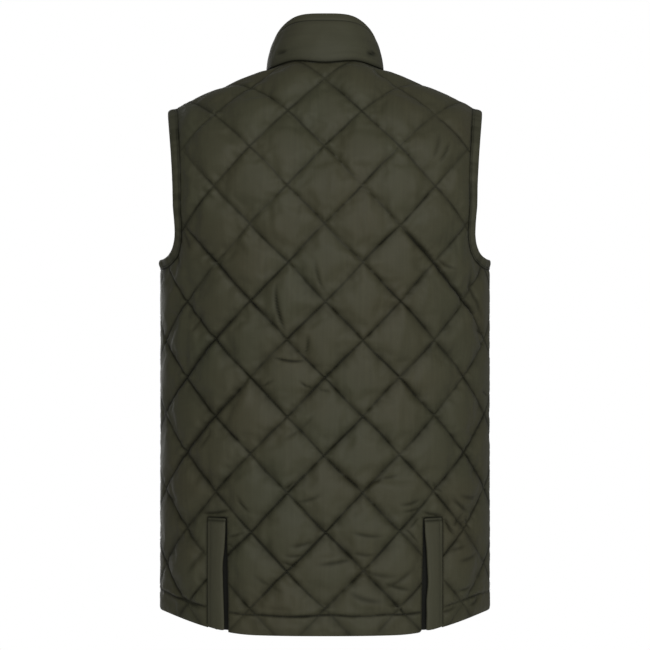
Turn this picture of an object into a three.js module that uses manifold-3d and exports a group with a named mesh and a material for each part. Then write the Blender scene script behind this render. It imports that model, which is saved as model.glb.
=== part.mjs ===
// A quilted vest in its worn, hollow shape: stand collar, zipped front, bound armholes and two vents in the back.
// Units are millimetres. The front faces -Y, +Z is up, and +X is the wearer's left.
// The origin is the middle of the neck opening, level with the points where the shoulders meet the collar.
// Each quilted piece is cut flat from a slab of quilted cloth, by its pattern outline, and then bent to the body form.
// Flat cloth has two coordinates: s runs sideways from the centre line, and t runs down from the shoulder level.

import * as THREE from "three";
import { mergeVertices } from "three/addons/utils/BufferGeometryUtils.js";
import Module from "manifold-3d";

const wasm = await Module();
wasm.setup();

// Body form: neck and shoulders.
const NECK_HALF_WIDTH = 73;
const NECK_REACH = { back: 63, front: 88 };
const NECK_AT_SIDE = -7;
const SHOULDER_HALF_WIDTH = 206;
const SHOULDER_SLOPE = 0.42;
const RIDGE_ROUNDING = 40; // how softly the two shoulder slopes would meet over the neck
const NECK_LIFT = 20; // the form rises this much more under the neck opening
const NECK_LIFT_WIDTH = 58;

// Body form: how far below the shoulder ridge each side has turned upright, at the arm and at the centre line.
const SIDES = {
  back: { facing: 1, turnAtArm: 95, turnAtCentre: 225, turnWidth: 70 },
  front: { facing: -1, turnAtArm: 105, turnAtCentre: 300, turnWidth: 80 },
};

// Body form: level sections. A roundness of 2 is an ellipse's side, and less gives a tighter turn at the side seam.
const WIDTH_POWER = 2.6;
const SECTIONS = [
  { z: -740, halfWidth: 215.5, back: 127, front: 121, roundness: 1.45 },
  { z: -430, halfWidth: 215, back: 119, front: 120, roundness: 1.45 },
  { z: -256, halfWidth: 215, back: 129, front: 131, roundness: 1.5 },
  { z: -170, halfWidth: 228, back: 131, front: 127, roundness: 1.9 },
  { z: -60, halfWidth: 232, back: 121, front: 118, roundness: 2 },
];

// Pattern: armholes, hem and seams.
const ARMHOLE_BOTTOM = -253;
const ARMHOLE_MIDDLE = -185; // level of the armhole's innermost point
const ARMHOLE_HALF_WIDTH = { back: 194.5, front: 188 };
const ARMHOLE_POWER = 3; // how square the foot of the armhole is
const BINDING_WIDTH = 13.2;
const HEM_AT_SIDE = -713;
const HEM_DROP = { back: 18.5, front: 8 };
const HEM_CURVE = { flatUntil: 0.33, upBy: 0.95 }; // shares of the way from the centre line to the side seam
const HEM_WIDTH = 25;
const SEAM_GAP = 0.3;

// Quilting: a diamond's full width and height, and the thickness of the wall.
const DIAMOND = { wide: 95, high: 97.5 };
const QUILT_TOP = 16; // how far down the flat cloth the highest crossing on the centre line is
const STITCHED_THICKNESS = 2.6;
const PUFF = 6.4;
const PUFF_SQUARENESS = 0.45;
const PUFF_STEPS = [0, 0.15, 0.5, 0.85];
const PLAIN_STEPS = [0, 0.5];
const SEAM_FADE = 20; // the padding thins towards a seam over this distance
const SIDE_FADE = 70; // and towards the side seam over this one
const HEM_THICKNESS = 3.4;

// Back vents: a slit with a plain band on its outer edge and a plain gusset behind it.
const VENT_HALF_SPACING = 125;
const VENT_TOP = -584.5;
const VENT_GAP = { top: 1.4, hem: 5.4 };
const VENT_BAND_WIDTH = 28;
const GUSSET = { past: 17, above: 7, hemInset: 1, outer: -0.7, inner: -2.2 };

// Collar: levels of its top edge, thickness, and how far it leans in by height.
const COLLAR_TOP = { back: 67, side: 42, front: -16, curve: 1.7 };
const COLLAR_THICKNESS = 4.6;
const COLLAR_LEAN = { straight: 0.035, curved: 0.0048 };
const COLLAR_STITCH = { below: 10, depth: 0.9, halfWidth: 1.6 };

// Zip: opening between the front edges, chain, tapes, slider and pull tab.
const ZIP_EDGE = 5.2; // each front edge ends this far from the centre line
const CHAIN = { halfWidth: 2.9, outer: 0.9, inner: -1.9, hemInset: 8, collarInset: 7 };
const TAPE = { from: 3.2, to: 16, outer: -0.9, inner: -1.9 };
const SLIDER = { width: 8.6, height: 11, thickness: 3, below: 14 };
const BRIDGE = { width: 2.2, thickness: 1.1, rise: 3.4, length: 7 };
const PULL = { width: 6.6, length: 27, thickness: 1.2, bar: 1.3, eye: 5, sideBar: 1.6, hang: 0.1 };

const OLIVE = 0x41402f;
const CLOTH = { color: OLIVE, roughness: 0.62, metalness: 0 };
const TAPE_CLOTH = { color: 0x34352b, roughness: 0.85, metalness: 0 };
const ZIP_METAL = { color: 0x4b4a44, roughness: 0.38, metalness: 0.9 };

const { PI, abs, cos, exp, hypot, max, min, pow, sin, sqrt } = Math;
const clamp01 = (value) => min(1, max(0, value));
const mix = (a, b, share) => a + (b - a) * share;
const smooth = (share) => share * share * (3 - 2 * share);
const fractions = (count) => Array.from({ length: count + 1 }, (_, i) => i / count);

// The body form

function sectionAt(z) {
  const above = SECTIONS.findIndex((row) => row.z >= z);
  if (above === 0) return SECTIONS[0];
  if (above < 0) return SECTIONS[SECTIONS.length - 1];
  const [low, high] = [SECTIONS[above - 1], SECTIONS[above]];
  const share = smooth((z - low.z) / (high.z - low.z));
  const blended = {};
  for (const column of Object.keys(low)) blended[column] = mix(low[column], high[column], share);
  return blended;
}

// The height of the shoulder ridge over the point x. Over the neck opening the ridge is imaginary.
function ridgeHeight(x) {
  const slope = hypot(x, RIDGE_ROUNDING) - hypot(NECK_HALF_WIDTH, RIDGE_ROUNDING);
  return NECK_AT_SIDE + NECK_LIFT * exp(-((x / NECK_LIFT_WIDTH) ** 4)) - SHOULDER_SLOPE * slope;
}

// How far below the ridge the surface has turned upright.
function turnDepth(side, x) {
  const { turnAtArm, turnAtCentre, turnWidth } = SIDES[side];
  return turnAtArm + (turnAtCentre - turnAtArm) * exp(-((x / turnWidth) ** 2));
}

// One quarter of a level section, from the centre line to the side seam, with the arc length at each point.
const SECTION_STEPS = 72;
function quarterSection(side, z) {
  const row = sectionAt(z);
  const points = [{ angle: 0, x: 0, depth: row[side], length: 0 }];
  for (let i = 1; i <= SECTION_STEPS; i++) {
    const angle = ((PI / 2) * i) / SECTION_STEPS;
    const x = row.halfWidth * pow(sin(angle), 2 / WIDTH_POWER);
    const depth = row[side] * pow(max(0, cos(angle)), 2 / row.roundness);
    const last = points[i - 1];
    points.push({ angle, x, depth, length: last.length + hypot(x - last.x, depth - last.depth) });
  }
  return points;
}

// The value of one column where another column reaches a target, in a list where that column grows.
function lookUp(points, column, target, wanted) {
  let i = points.findIndex((point) => point[column] >= target);
  if (i < 0) i = points.length - 1;
  if (i === 0) return points[0][wanted];
  const [low, high] = [points[i - 1], points[i]];
  const share = clamp01((target - low[column]) / (high[column] - low[column]));
  return mix(low[wanted], high[wanted], share);
}

const sideSeam = (side, z) => quarterSection(side, z)[SECTION_STEPS].length;

// The turn from upright wall to shoulder ridge is a quarter of an ellipse, run on a little past the ridge.
// Lengths along it are added up in steps.
const TURN_STEPS = 48;
const TURN_END = PI / 2 + 0.06;
function turnCurve(rise, reach) {
  const points = [{ angle: 0, length: 0 }];
  for (let i = 1; i <= TURN_STEPS; i++) {
    const [from, to] = [(TURN_END * (i - 1)) / TURN_STEPS, (TURN_END * i) / TURN_STEPS];
    const step = hypot(rise * (sin(to) - sin(from)), reach * (cos(to) - cos(from)));
    points.push({ angle: to, length: points[i - 1].length + step });
  }
  return points;
}

function turnAt(side, x) {
  const rise = turnDepth(side, x);
  const start = ridgeHeight(x) - rise;
  const section = quarterSection(side, start);
  const reach = lookUp(section, "x", x, "depth");
  return { rise, start, curve: turnCurve(rise, reach) };
}

// Where a point of the flat cloth lies on the form.
function place(side, s, t) {
  const mirrored = s < 0 ? -1 : 1;
  const section = quarterSection(side, -t);
  const x = lookUp(section, "length", abs(s), "x");
  const depth = lookUp(section, "length", abs(s), "depth");
  const facing = SIDES[side].facing;
  const turn = turnAt(side, x);
  if (-t <= turn.start) return new THREE.Vector3(mirrored * x, facing * depth, -t);
  const angle = lookUp(turn.curve, "length", -t - turn.start, "angle");
  const z = turn.start + turn.rise * sin(angle);
  const wall = lookUp(quarterSection(side, z), "x", x, "depth");
  return new THREE.Vector3(mirrored * x, facing * wall * cos(angle), z);
}

// The flat coordinates of a point of the form that is given by x and z.
function flatten(side, x, z) {
  const turn = turnAt(side, x);
  let t = -z;
  if (z > turn.start) {
    const angle = Math.asin(clamp01((z - turn.start) / turn.rise));
    t = -turn.start - lookUp(turn.curve, "angle", angle, "length");
  }
  return { s: lookUp(quarterSection(side, -t), "x", x, "length"), t };
}

// The outward direction of the form.
const PROBE = 0.4;
function outward(side, s, t) {
  const here = place(side, s, t);
  const inner = s > 0 ? -PROBE : PROBE;
  const across = place(side, s + inner, t).sub(here).multiplyScalar(Math.sign(inner));
  const down = place(side, s, t + PROBE).sub(here);
  return across.cross(down).multiplyScalar(SIDES[side].facing).normalize();
}

const over = (side, s, t, height) =>
  place(side, s, t).addScaledVector(outward(side, s, t), height);

// The pattern

// A half of the armhole, from the underarm to the shoulder, moved in from the edge by an inset.
function armholeCurve(side, inset, lowerSteps, upperSteps) {
  const middle = flatten(side, ARMHOLE_HALF_WIDTH[side], ARMHOLE_MIDDLE);
  const bottom = -ARMHOLE_BOTTOM + inset;
  const seam = sideSeam(side, -bottom);
  const points = [];
  for (const share of fractions(lowerSteps)) {
    const angle = (PI / 2) * (1 - share);
    points.push({
      s: mix(seam, middle.s - inset, pow(max(0, cos(angle)), 2 / ARMHOLE_POWER)),
      t: mix(middle.t, bottom, pow(sin(angle), 2 / ARMHOLE_POWER)),
    });
  }
  for (const share of fractions(upperSteps).slice(1)) {
    const edge = mix(ARMHOLE_HALF_WIDTH[side], SHOULDER_HALF_WIDTH, share * share);
    const onEdge = flatten(side, edge, mix(ARMHOLE_MIDDLE, ridgeHeight(edge), share));
    const s = onEdge.s - inset * mix(1, 1.3, share);
    const x = lookUp(quarterSection(side, -onEdge.t), "length", s, "x");
    points.push(flatten(side, x, mix(ARMHOLE_MIDDLE, ridgeHeight(x), share)));
  }
  return points;
}

// The neck seam, by the angle round the neck from the centre back, 0, to the centre front, PI. Seen from above it is
// an oval, and its level is the form's there, which a few rounds of trial settle.
function neckPoint(angle, side = abs(angle) <= PI / 2 ? "back" : "front") {
  const [x, reach] = [NECK_HALF_WIDTH * sin(abs(angle)), NECK_REACH[side] * abs(cos(angle))];
  const turn = turnAt(side, x);
  let z = turn.start + turn.rise;
  for (let round = 0; round < 8; round++) {
    const wall = lookUp(quarterSection(side, z), "x", x, "depth");
    z = turn.start + turn.rise * sqrt(1 - (reach / wall) ** 2);
  }
  const flat = flatten(side, x, z);
  return { side, s: angle < 0 ? -flat.s : flat.s, t: flat.t };
}

const hemLevel = (side, s) => {
  const share = abs(s) / sideSeam(side, HEM_AT_SIDE);
  const turned = (HEM_CURVE.upBy - share) / (HEM_CURVE.upBy - HEM_CURVE.flatUntil);
  return -HEM_AT_SIDE + HEM_DROP[side] * smooth(clamp01(turned));
};

const NECK_STEPS = 14;
const SHOULDER_STEPS = 16;
const SEAM_STEPS = 24;
const HEM_STEPS = 16;

// The upper outline of a panel's half: neck, shoulder seam, armhole seam and side seam, down to the hem.
function upperOutline(side) {
  const [from, to] = side === "back" ? [0, PI / 2] : [PI, PI / 2];
  const neck = fractions(NECK_STEPS).map((share) => neckPoint(mix(from, to, share), side));
  const armhole = armholeCurve(side, BINDING_WIDTH + SEAM_GAP, 14, 12).reverse();
  const end = place(side, armhole[0].s, armhole[0].t).x;
  const shoulder = fractions(SHOULDER_STEPS)
    .slice(1, -1)
    .map((share) => mix(NECK_HALF_WIDTH, end, share))
    .map((x) => flatten(side, x, ridgeHeight(x)));
  const underarm = -ARMHOLE_BOTTOM + BINDING_WIDTH;
  const seam = fractions(SEAM_STEPS)
    .slice(1)
    .map((share) => mix(underarm, -HEM_AT_SIDE, share))
    .map((t) => ({ s: sideSeam(side, -t), t }));
  return [...neck, ...shoulder, ...armhole, ...seam];
}

const ventLine = flatten("back", VENT_HALF_SPACING, HEM_AT_SIDE).s;
const ventHalfGap = (t) => {
  const share = clamp01((t + VENT_TOP) / (-HEM_AT_SIDE + VENT_TOP));
  return mix(VENT_GAP.top, VENT_GAP.hem, smooth(share)) / 2;
};

// The hem of a half of the back, from the side seam to the centre line, with the notch for the vent and its band.
function backHem() {
  const seam = sideSeam("back", HEM_AT_SIDE);
  const at = (s) => ({ s, t: hemLevel("back", s) });
  const outer = fractions(HEM_STEPS).map((share) => mix(seam, ventLine + VENT_BAND_WIDTH, share));
  const notch = [
    { s: ventLine + VENT_BAND_WIDTH, t: -VENT_TOP },
    ...fractions(8).map((share) => {
      const t = mix(-VENT_TOP, hemLevel("back", ventLine), share);
      return { s: ventLine - ventHalfGap(t), t };
    }),
  ];
  const inner = fractions(HEM_STEPS)
    .slice(1)
    .map((share) => (ventLine - ventHalfGap(-HEM_AT_SIDE)) * (1 - share));
  return [...outer.slice(1).map(at), ...notch, ...inner.map(at)];
}

function frontHem() {
  const seam = sideSeam("front", HEM_AT_SIDE);
  return fractions(2 * HEM_STEPS)
    .slice(1)
    .map((share) => mix(seam, ZIP_EDGE, share))
    .map((s) => ({ s, t: hemLevel("front", s) }));
}

// The whole back, mirrored over its centre line.
function backOutline() {
  const half = [...upperOutline("back"), ...backHem()];
  const other = half
    .slice(1, -1)
    .reverse()
    .map(({ s, t }) => ({ s: -s, t }));
  return [...half, ...other];
}

// The wearer's left front. Its neck starts at the front edge.
function frontOutline() {
  const upper = upperOutline("front").filter((point) => point.s > ZIP_EDGE);
  return [{ s: ZIP_EDGE, t: neckPoint(PI).t }, ...upper, ...frontHem()];
}

// An outline moved in by a distance, each corner along the middle of its two sides.
function insetOutline(outline, distance) {
  return outline.map((point, i) => {
    const before = outline[(i + outline.length - 1) % outline.length];
    const after = outline[(i + 1) % outline.length];
    const a = new THREE.Vector2(point.s - before.s, point.t - before.t).normalize();
    const b = new THREE.Vector2(after.s - point.s, after.t - point.t).normalize();
    const along = a.clone().add(b).normalize();
    const inward = new THREE.Vector2(-along.y, along.x);
    const reach = distance / max(0.5, new THREE.Vector2(-a.y, a.x).dot(inward));
    return { s: point.s + inward.x * reach, t: point.t + inward.y * reach };
  });
}

// Quilted cloth

function distanceTo(outline, s, t) {
  let nearest = Infinity;
  outline.forEach((a, i) => {
    const b = outline[(i + 1) % outline.length];
    const [ds, dt] = [b.s - a.s, b.t - a.t];
    const share = clamp01(((s - a.s) * ds + (t - a.t) * dt) / max(1e-9, ds * ds + dt * dt));
    nearest = min(nearest, hypot(s - a.s - ds * share, t - a.t - dt * share));
  });
  return nearest;
}

// The wall's thickness at a point of the flat cloth. Between the stitched lines each diamond puffs out.
function wallThickness(side, outline, s, t) {
  const ridge = (value) => pow(abs(sin(PI * value)), PUFF_SQUARENESS);
  const [across, down] = [s / DIAMOND.wide, (t - QUILT_TOP) / DIAMOND.high];
  const diamond = ridge(across + down) * ridge(across - down);
  const fromSide = sideSeam(side, -t) - abs(s);
  const fade = smooth(clamp01(distanceTo(outline, s, t) / SEAM_FADE));
  const sideFade = smooth(clamp01(fromSide / SIDE_FADE));
  const padded = STITCHED_THICKNESS + PUFF * diamond * fade * sideFade;
  const fromHem = (hemLevel(side, s) - t) / HEM_WIDTH;
  return mix(HEM_THICKNESS, padded, smooth(clamp01(2 * fromHem - 1)));
}

// A flat slab whose mesh follows the quilting, coarse on its plain inside. Both its faces are dished in opposite
// ways, so that a cut through it keeps every one of their corners. The dish is dropped when the cloth is bent.
const DISH_FLOOR = 60;
const DISH = 1 / 5000;
function slab(reach) {
  const steps = (shares) => {
    const values = [];
    for (let cell = -reach; cell < reach; cell++) {
      for (const share of shares) values.push(cell + share);
    }
    return [...values, reach];
  };
  const vertices = [];
  const triangles = [];
  const addFace = (shares, direction) => {
    const values = steps(shares);
    const first = vertices.length / 3;
    for (const u of values) {
      for (const v of values) {
        const [s, down] = [(DIAMOND.wide * (u + v)) / 2, (DIAMOND.high * (u - v)) / 2];
        vertices.push(s, down, direction * (DISH_FLOOR + DISH * (s * s + down * down)));
      }
    }
    const at = (i, j) => first + i * values.length + j;
    const inFirstHalf = (i) => i % shares.length < shares.length / 2;
    for (let i = 0; i + 1 < values.length; i++) {
      for (let j = 0; j + 1 < values.length; j++) {
        const [a, b, c, d] = [at(i, j), at(i + 1, j), at(i + 1, j + 1), at(i, j + 1)];
        const towardsMiddle = inFirstHalf(i) === inFirstHalf(j);
        const pair = towardsMiddle ? [a, c, b, a, d, c] : [a, d, b, b, d, c];
        triangles.push(...(direction > 0 ? pair : pair.reverse()));
      }
    }
    const line = [...values.keys()];
    const lastOne = values.length - 1;
    return [
      ...line.map((i) => at(i, 0)),
      ...line.slice(1).map((j) => at(lastOne, j)),
      ...line.slice(1).map((i) => at(lastOne - i, lastOne)),
      ...line.slice(1, -1).map((j) => at(0, lastOne - j)),
    ];
  };
  const top = addFace(PUFF_STEPS, 1);
  const bottom = addFace(PLAIN_STEPS, -1);
  const perFace = [top.length, bottom.length];
  let [i, j] = [0, 0];
  while (i < perFace[0] || j < perFace[1]) {
    const [a, b] = [top[i % perFace[0]], bottom[j % perFace[1]]];
    if (i / perFace[0] <= j / perFace[1]) {
      triangles.push(a, top[(i + 1) % perFace[0]], b);
      i++;
    } else {
      triangles.push(a, bottom[(j + 1) % perFace[1]], b);
      j++;
    }
  }
  return solidFrom(vertices, triangles);
}

function solidFrom(vertices, triangles) {
  return new wasm.Manifold(
    new wasm.Mesh({
      numProp: 3,
      vertProperties: new Float32Array(vertices),
      triVerts: new Uint32Array(triangles),
    }),
  );
}

function solidOf(geometry) {
  const bare = new THREE.BufferGeometry();
  bare.setAttribute("position", geometry.getAttribute("position"));
  if (geometry.index) bare.setIndex(geometry.index);
  const merged = mergeVertices(bare, 1e-4);
  return solidFrom(merged.attributes.position.array, merged.index.array);
}

// Flat slab, cut to the outline and bent: its upper vertices take the wall's thickness and its lower ones none.
function quiltedPanel(side, outline) {
  const edge = insetOutline(outline, SEAM_GAP / 2);
  const shape = new THREE.Shape(edge.map(({ s, t }) => new THREE.Vector2(s, t - QUILT_TOP)));
  const depth = 2000;
  const cutter = new THREE.ExtrudeGeometry(shape, { depth, bevelEnabled: false });
  cutter.translate(0, 0, -depth / 2);
  const diamonds = ({ s, t }) => abs(s) / DIAMOND.wide + abs(t - QUILT_TOP) / DIAMOND.high;
  const reach = Math.ceil(max(...outline.map(diamonds)));
  const cut = slab(reach).intersect(solidOf(cutter)).getMesh();
  const positions = [];
  for (let i = 0; i < cut.numVert; i++) {
    const [s, down, height] = cut.vertProperties.subarray(i * cut.numProp, i * cut.numProp + 3);
    const t = down + QUILT_TOP;
    const thickness = height > 0 ? wallThickness(side, edge, s, t) : 0;
    positions.push(...over(side, s, t, thickness).toArray());
  }
  return meshGeometry(positions, [...cut.triVerts], side === "front");
}

function meshGeometry(positions, triangles, turnRound) {
  const geometry = new THREE.BufferGeometry();
  geometry.setAttribute("position", new THREE.Float32BufferAttribute(positions, 3));
  geometry.setIndex(turnRound ? triangles.reverse() : triangles);
  geometry.computeVertexNormals();
  return geometry;
}

// Plain cloth

// A solid through rings of points, with a cap on each end or joined end to end. Its faces are turned outwards.
function loft(rings, joined = false) {
  const count = rings[0].length;
  const positions = rings.flat().flatMap((point) => point.toArray());
  const triangles = [];
  const spans = joined ? rings.length : rings.length - 1;
  for (let i = 0; i < spans; i++) {
    for (let j = 0; j < count; j++) {
      const [here, next] = [i * count, ((i + 1) % rings.length) * count];
      const k = (j + 1) % count;
      triangles.push(here + j, next + j, next + k, here + j, next + k, here + k);
    }
  }
  if (!joined) {
    const last = (rings.length - 1) * count;
    const cap = THREE.ShapeUtils.triangulateShape(flatRing(rings[0]), []);
    const lastCap = THREE.ShapeUtils.triangulateShape(flatRing(rings.at(-1)), []);
    triangles.push(...orient(cap, rings[0]).flat());
    triangles.push(...orient(lastCap, rings.at(-1)).flatMap(([a, b, c]) => [last + a, last + c, last + b]));
  }
  const solid = meshGeometry(positions, triangles, false);
  return signedVolume(solid) < 0 ? meshGeometry(positions, triangles, true) : solid;
}

// A ring drawn in its own plane, for cutting its cap into triangles.
function flatRing(ring) {
  const { origin, right, up } = ringPlane(ring);
  return ring.map((point) => {
    const from = point.clone().sub(origin);
    return new THREE.Vector2(from.dot(right), from.dot(up));
  });
}

function ringPlane(ring) {
  const origin = ring[0];
  const normal = new THREE.Vector3();
  ring.forEach((point, i) => {
    const next = ring[(i + 1) % ring.length];
    normal.add(point.clone().sub(origin).cross(next.clone().sub(origin)));
  });
  const right = ring[1].clone().sub(origin).normalize();
  const up = normal.normalize().cross(right).normalize();
  return { origin, right, up };
}

// The cap's triangles, turned to run the same way round as the ring.
function orient(cap, ring) {
  const flat = flatRing(ring);
  const ringTurn = THREE.ShapeUtils.area(flat);
  return cap.map(([a, b, c]) => {
    const turn = THREE.ShapeUtils.area([flat[a], flat[b], flat[c]]);
    return turn * ringTurn > 0 ? [a, b, c] : [a, c, b];
  });
}

function signedVolume(geometry) {
  const corners = geometry.getAttribute("position");
  const [a, b, c] = [new THREE.Vector3(), new THREE.Vector3(), new THREE.Vector3()];
  let total = 0;
  for (let i = 0; i < geometry.index.count; i += 3) {
    a.fromBufferAttribute(corners, geometry.index.getX(i));
    b.fromBufferAttribute(corners, geometry.index.getX(i + 1));
    c.fromBufferAttribute(corners, geometry.index.getX(i + 2));
    total += a.dot(b.cross(c));
  }
  return total;
}

// A binding's section: how far across from the edge to the seam, and the height over the form.
const BINDING_SECTION = [
  { across: 1, height: 0 },
  { across: 1, height: 2.6 },
  { across: 0.8, height: 4 },
  { across: 0.4, height: 4.6 },
  { across: 0.12, height: 3.8 },
  { across: 0, height: 2 },
  { across: 0.1, height: 0.2 },
  { across: 0.4, height: 0 },
];

// The bound edge of one armhole: a loop from the underarm over the shoulder and back down the front.
function armholeBinding(wearerSide) {
  const stations = (side) => {
    const edge = armholeCurve(side, 0, 14, 12);
    const seam = armholeCurve(side, BINDING_WIDTH, 14, 12);
    return edge.map((outer, i) =>
      BINDING_SECTION.map(({ across, height }) => {
        const s = mix(outer.s, seam[i].s, across);
        const t = mix(outer.t, seam[i].t, across);
        return over(side, wearerSide * s, t, height);
      }),
    );
  };
  const back = stations("back");
  const front = stations("front").reverse();
  return loft([...back.slice(0, -1), ...front.slice(0, -1)], true);
}

// A strip of plain cloth that runs down the body between two edges, each given as a distance from the centre line.
function strip(side, section, levels) {
  return loft(
    levels.map((t) => section(t).map(({ s, height, end = 0 }) => over(side, s, t + end, height))),
  );
}

const VENT_BAND_SECTION = [
  { across: 1, height: 0.2 },
  { across: 1, height: 3.4 },
  { across: 0.7, height: 4.6 },
  { across: 0.3, height: 5 },
  { across: 0.06, height: 4.2 },
  { across: 0, height: 2.4 },
  { across: 0.05, height: 0.6 },
];

function ventBand(wearerSide) {
  const hem = hemLevel("back", ventLine + VENT_BAND_WIDTH / 2);
  const section = (t) => {
    const [slit, seam] = [ventLine + ventHalfGap(t), ventLine + VENT_BAND_WIDTH - SEAM_GAP];
    return VENT_BAND_SECTION.map(({ across, height }) => {
      const s = mix(slit, seam, across);
      const share = (t + VENT_TOP) / (hem + VENT_TOP);
      return { s: wearerSide * s, height, end: share * (hemLevel("back", s) - hem) };
    });
  };
  return strip("back", section, fractions(10).map((share) => mix(-VENT_TOP + SEAM_GAP, hem, share)));
}

function ventGusset(wearerSide) {
  const section = () => {
    const [low, high] = [ventLine - GUSSET.past, ventLine + GUSSET.past];
    const outer = [low, ventLine, high].map((s) => ({ s: wearerSide * s, height: GUSSET.outer }));
    const inner = [high, ventLine, low].map((s) => ({ s: wearerSide * s, height: GUSSET.inner }));
    return [...outer, ...inner];
  };
  const [top, foot] = [-VENT_TOP - GUSSET.above, hemLevel("back", ventLine) - GUSSET.hemInset];
  return strip("back", section, fractions(6).map((share) => mix(top, foot, share)));
}

// The collar

// The direction that the neck seam faces, seen from above. Near the zip it is straight forward.
const ZIP_STRAIGHT = 24;
function neckFacing(angle) {
  const step = 0.01;
  const at = (a) => {
    const { side, s, t } = neckPoint(a);
    return place(side, s, t);
  };
  const [before, after] = [at(max(-PI, angle - step)), at(min(PI, angle + step))];
  const turned = smooth(clamp01(abs(after.x) / ZIP_STRAIGHT));
  return new THREE.Vector3((before.y - after.y) * turned, after.x - before.x, 0).normalize();
}

function collarHeight(angle) {
  const { side, s, t } = neckPoint(angle);
  const quarters = abs(angle) / (PI / 2);
  const onBack = mix(COLLAR_TOP.back, COLLAR_TOP.side, pow(1 - cos(angle), COLLAR_TOP.curve));
  const top = quarters < 1 ? onBack : mix(COLLAR_TOP.side, COLLAR_TOP.front, quarters - 1);
  return top - place(side, s, t).z;
}

// A point of the collar, by its height over the neck seam and its distance out from the collar's inner face.
function collarPoint(angle, height, out) {
  const { side, s, t } = neckPoint(angle);
  const base = place(side, s, t);
  if (height <= 0) return base.addScaledVector(outward(side, s, t), out).add(new THREE.Vector3(0, 0, SEAM_GAP));
  const lean = COLLAR_LEAN.straight * height + COLLAR_LEAN.curved * height * height;
  return base.add(new THREE.Vector3(0, 0, height)).addScaledVector(neckFacing(angle), out - lean);
}

function collarSection(angle) {
  const top = collarHeight(angle);
  const stitch = top - COLLAR_STITCH.below;
  const full = COLLAR_THICKNESS;
  return [
    { height: 0, out: 0 },
    { height: 0, out: full },
    { height: 7, out: full },
    { height: 20, out: full + 0.3 },
    { height: 34, out: full + 0.2 },
    { height: stitch - COLLAR_STITCH.halfWidth, out: full },
    { height: stitch, out: full - COLLAR_STITCH.depth },
    { height: stitch + COLLAR_STITCH.halfWidth, out: full },
    { height: top - 1.8, out: full },
    { height: top, out: full * 0.72 },
    { height: top, out: full * 0.28 },
    { height: top - 1.8, out: 0 },
    { height: mix(34, top, 0.5), out: 0 },
    { height: 34, out: 0 },
    { height: 14, out: 0 },
  ].map(({ height, out }) => collarPoint(angle, height, out));
}

const COLLAR_STEPS = 56;
function collar() {
  const end = PI - Math.asin(ZIP_EDGE / NECK_HALF_WIDTH);
  return loft(fractions(COLLAR_STEPS).map((share) => collarSection(mix(-end, end, share))));
}

// The zip

// A point on the line of the zip: up the fronts by t or by the distance below the neck seam, and then up the collar
// by its height.
function zipPoint(station, s, out) {
  const angle = PI - Math.asin(abs(s) / NECK_HALF_WIDTH);
  if ("t" in station) return over("front", s, station.t, out);
  if ("below" in station) return over("front", s, neckPoint(angle).t + station.below, out);
  return collarPoint(s < 0 ? -angle : angle, station.height, out);
}

const COLLAR_FRONT = collarHeight(PI);
const zipStations = () => {
  const [foot, neck] = [hemLevel("front", 0) - CHAIN.hemInset, neckPoint(PI).t];
  const onFront = fractions(20).map((share) => ({ t: mix(foot, neck + 14, share) }));
  const [low, high] = [2, COLLAR_FRONT - CHAIN.collarInset];
  const onCollar = fractions(6).map((share) => ({ height: mix(low, high, share) }));
  return [...onFront, { below: 6 }, { below: 1 }, ...onCollar];
};

function zipChain() {
  const { halfWidth, outer, inner } = CHAIN;
  const corners = [[-halfWidth, inner], [-halfWidth, outer], [halfWidth, outer], [halfWidth, inner]];
  return loft(zipStations().map((station) => corners.map(([s, out]) => zipPoint(station, s, out))));
}

function zipTape(wearerSide) {
  const { from, to, outer, inner } = TAPE;
  const corners = [[from, inner], [from, outer], [to, outer], [to, inner]];
  return loft(
    zipStations().map((station) => corners.map(([s, out]) => zipPoint(station, wearerSide * s, out))),
  );
}

function joinSolids(solids) {
  const made = solids.reduce((sum, solid) => sum.add(solid)).getMesh();
  return meshGeometry([...made.vertProperties], [...made.triVerts], false);
}

const block = (width, depth, height, x, y, z) =>
  solidOf(new THREE.BoxGeometry(width, depth, height).translate(x, y, z));

// The slider lies on the chain, with a bridge that holds the pull tab. Its own frame has +Z up the chain and -Y out.
function slider() {
  const { width, height, thickness } = SLIDER;
  const face = -thickness;
  const body = block(width, thickness, height, 0, -thickness / 2, 0);
  const legs = [-1, 1].map((end) => {
    const z = (end * (BRIDGE.length - BRIDGE.thickness)) / 2;
    return block(BRIDGE.width, BRIDGE.rise + 0.2, BRIDGE.thickness, 0, face - BRIDGE.rise / 2 + 0.1, z);
  });
  const roof = block(BRIDGE.width, BRIDGE.thickness, BRIDGE.length, 0, face - BRIDGE.rise, 0);
  return joinSolids([body, ...legs, roof]);
}

// The pull tab's own frame is the slider's, with its origin on the bar that turns in the bridge.
function pullTab() {
  const { width, length, thickness, bar, eye, sideBar } = PULL;
  const crossBar = solidOf(new THREE.CylinderGeometry(bar / 2, bar / 2, width, 10).rotateZ(PI / 2));
  const sides = [-1, 1].map((end) =>
    block(sideBar, thickness, eye, (end * (width - sideBar)) / 2, 0, -eye / 2),
  );
  const plate = block(width, thickness, length - eye + 0.2, 0, 0, -(length + eye) / 2 + 0.1);
  return joinSolids([crossBar, ...sides, plate]);
}

// The object

function zipFrame() {
  const height = COLLAR_FRONT - SLIDER.below;
  const foot = collarPoint(PI, height - SLIDER.height / 2, CHAIN.outer + SEAM_GAP);
  const head = collarPoint(PI, height + SLIDER.height / 2, CHAIN.outer + SEAM_GAP);
  const group = new THREE.Group();
  group.position.copy(foot.clone().add(head).multiplyScalar(0.5));
  group.rotation.x = Math.atan2(foot.y - head.y, head.z - foot.z);
  return group;
}

function named(name, geometry, finish) {
  const mesh = new THREE.Mesh(geometry, new THREE.MeshStandardMaterial(finish));
  mesh.name = name;
  return mesh;
}

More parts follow.
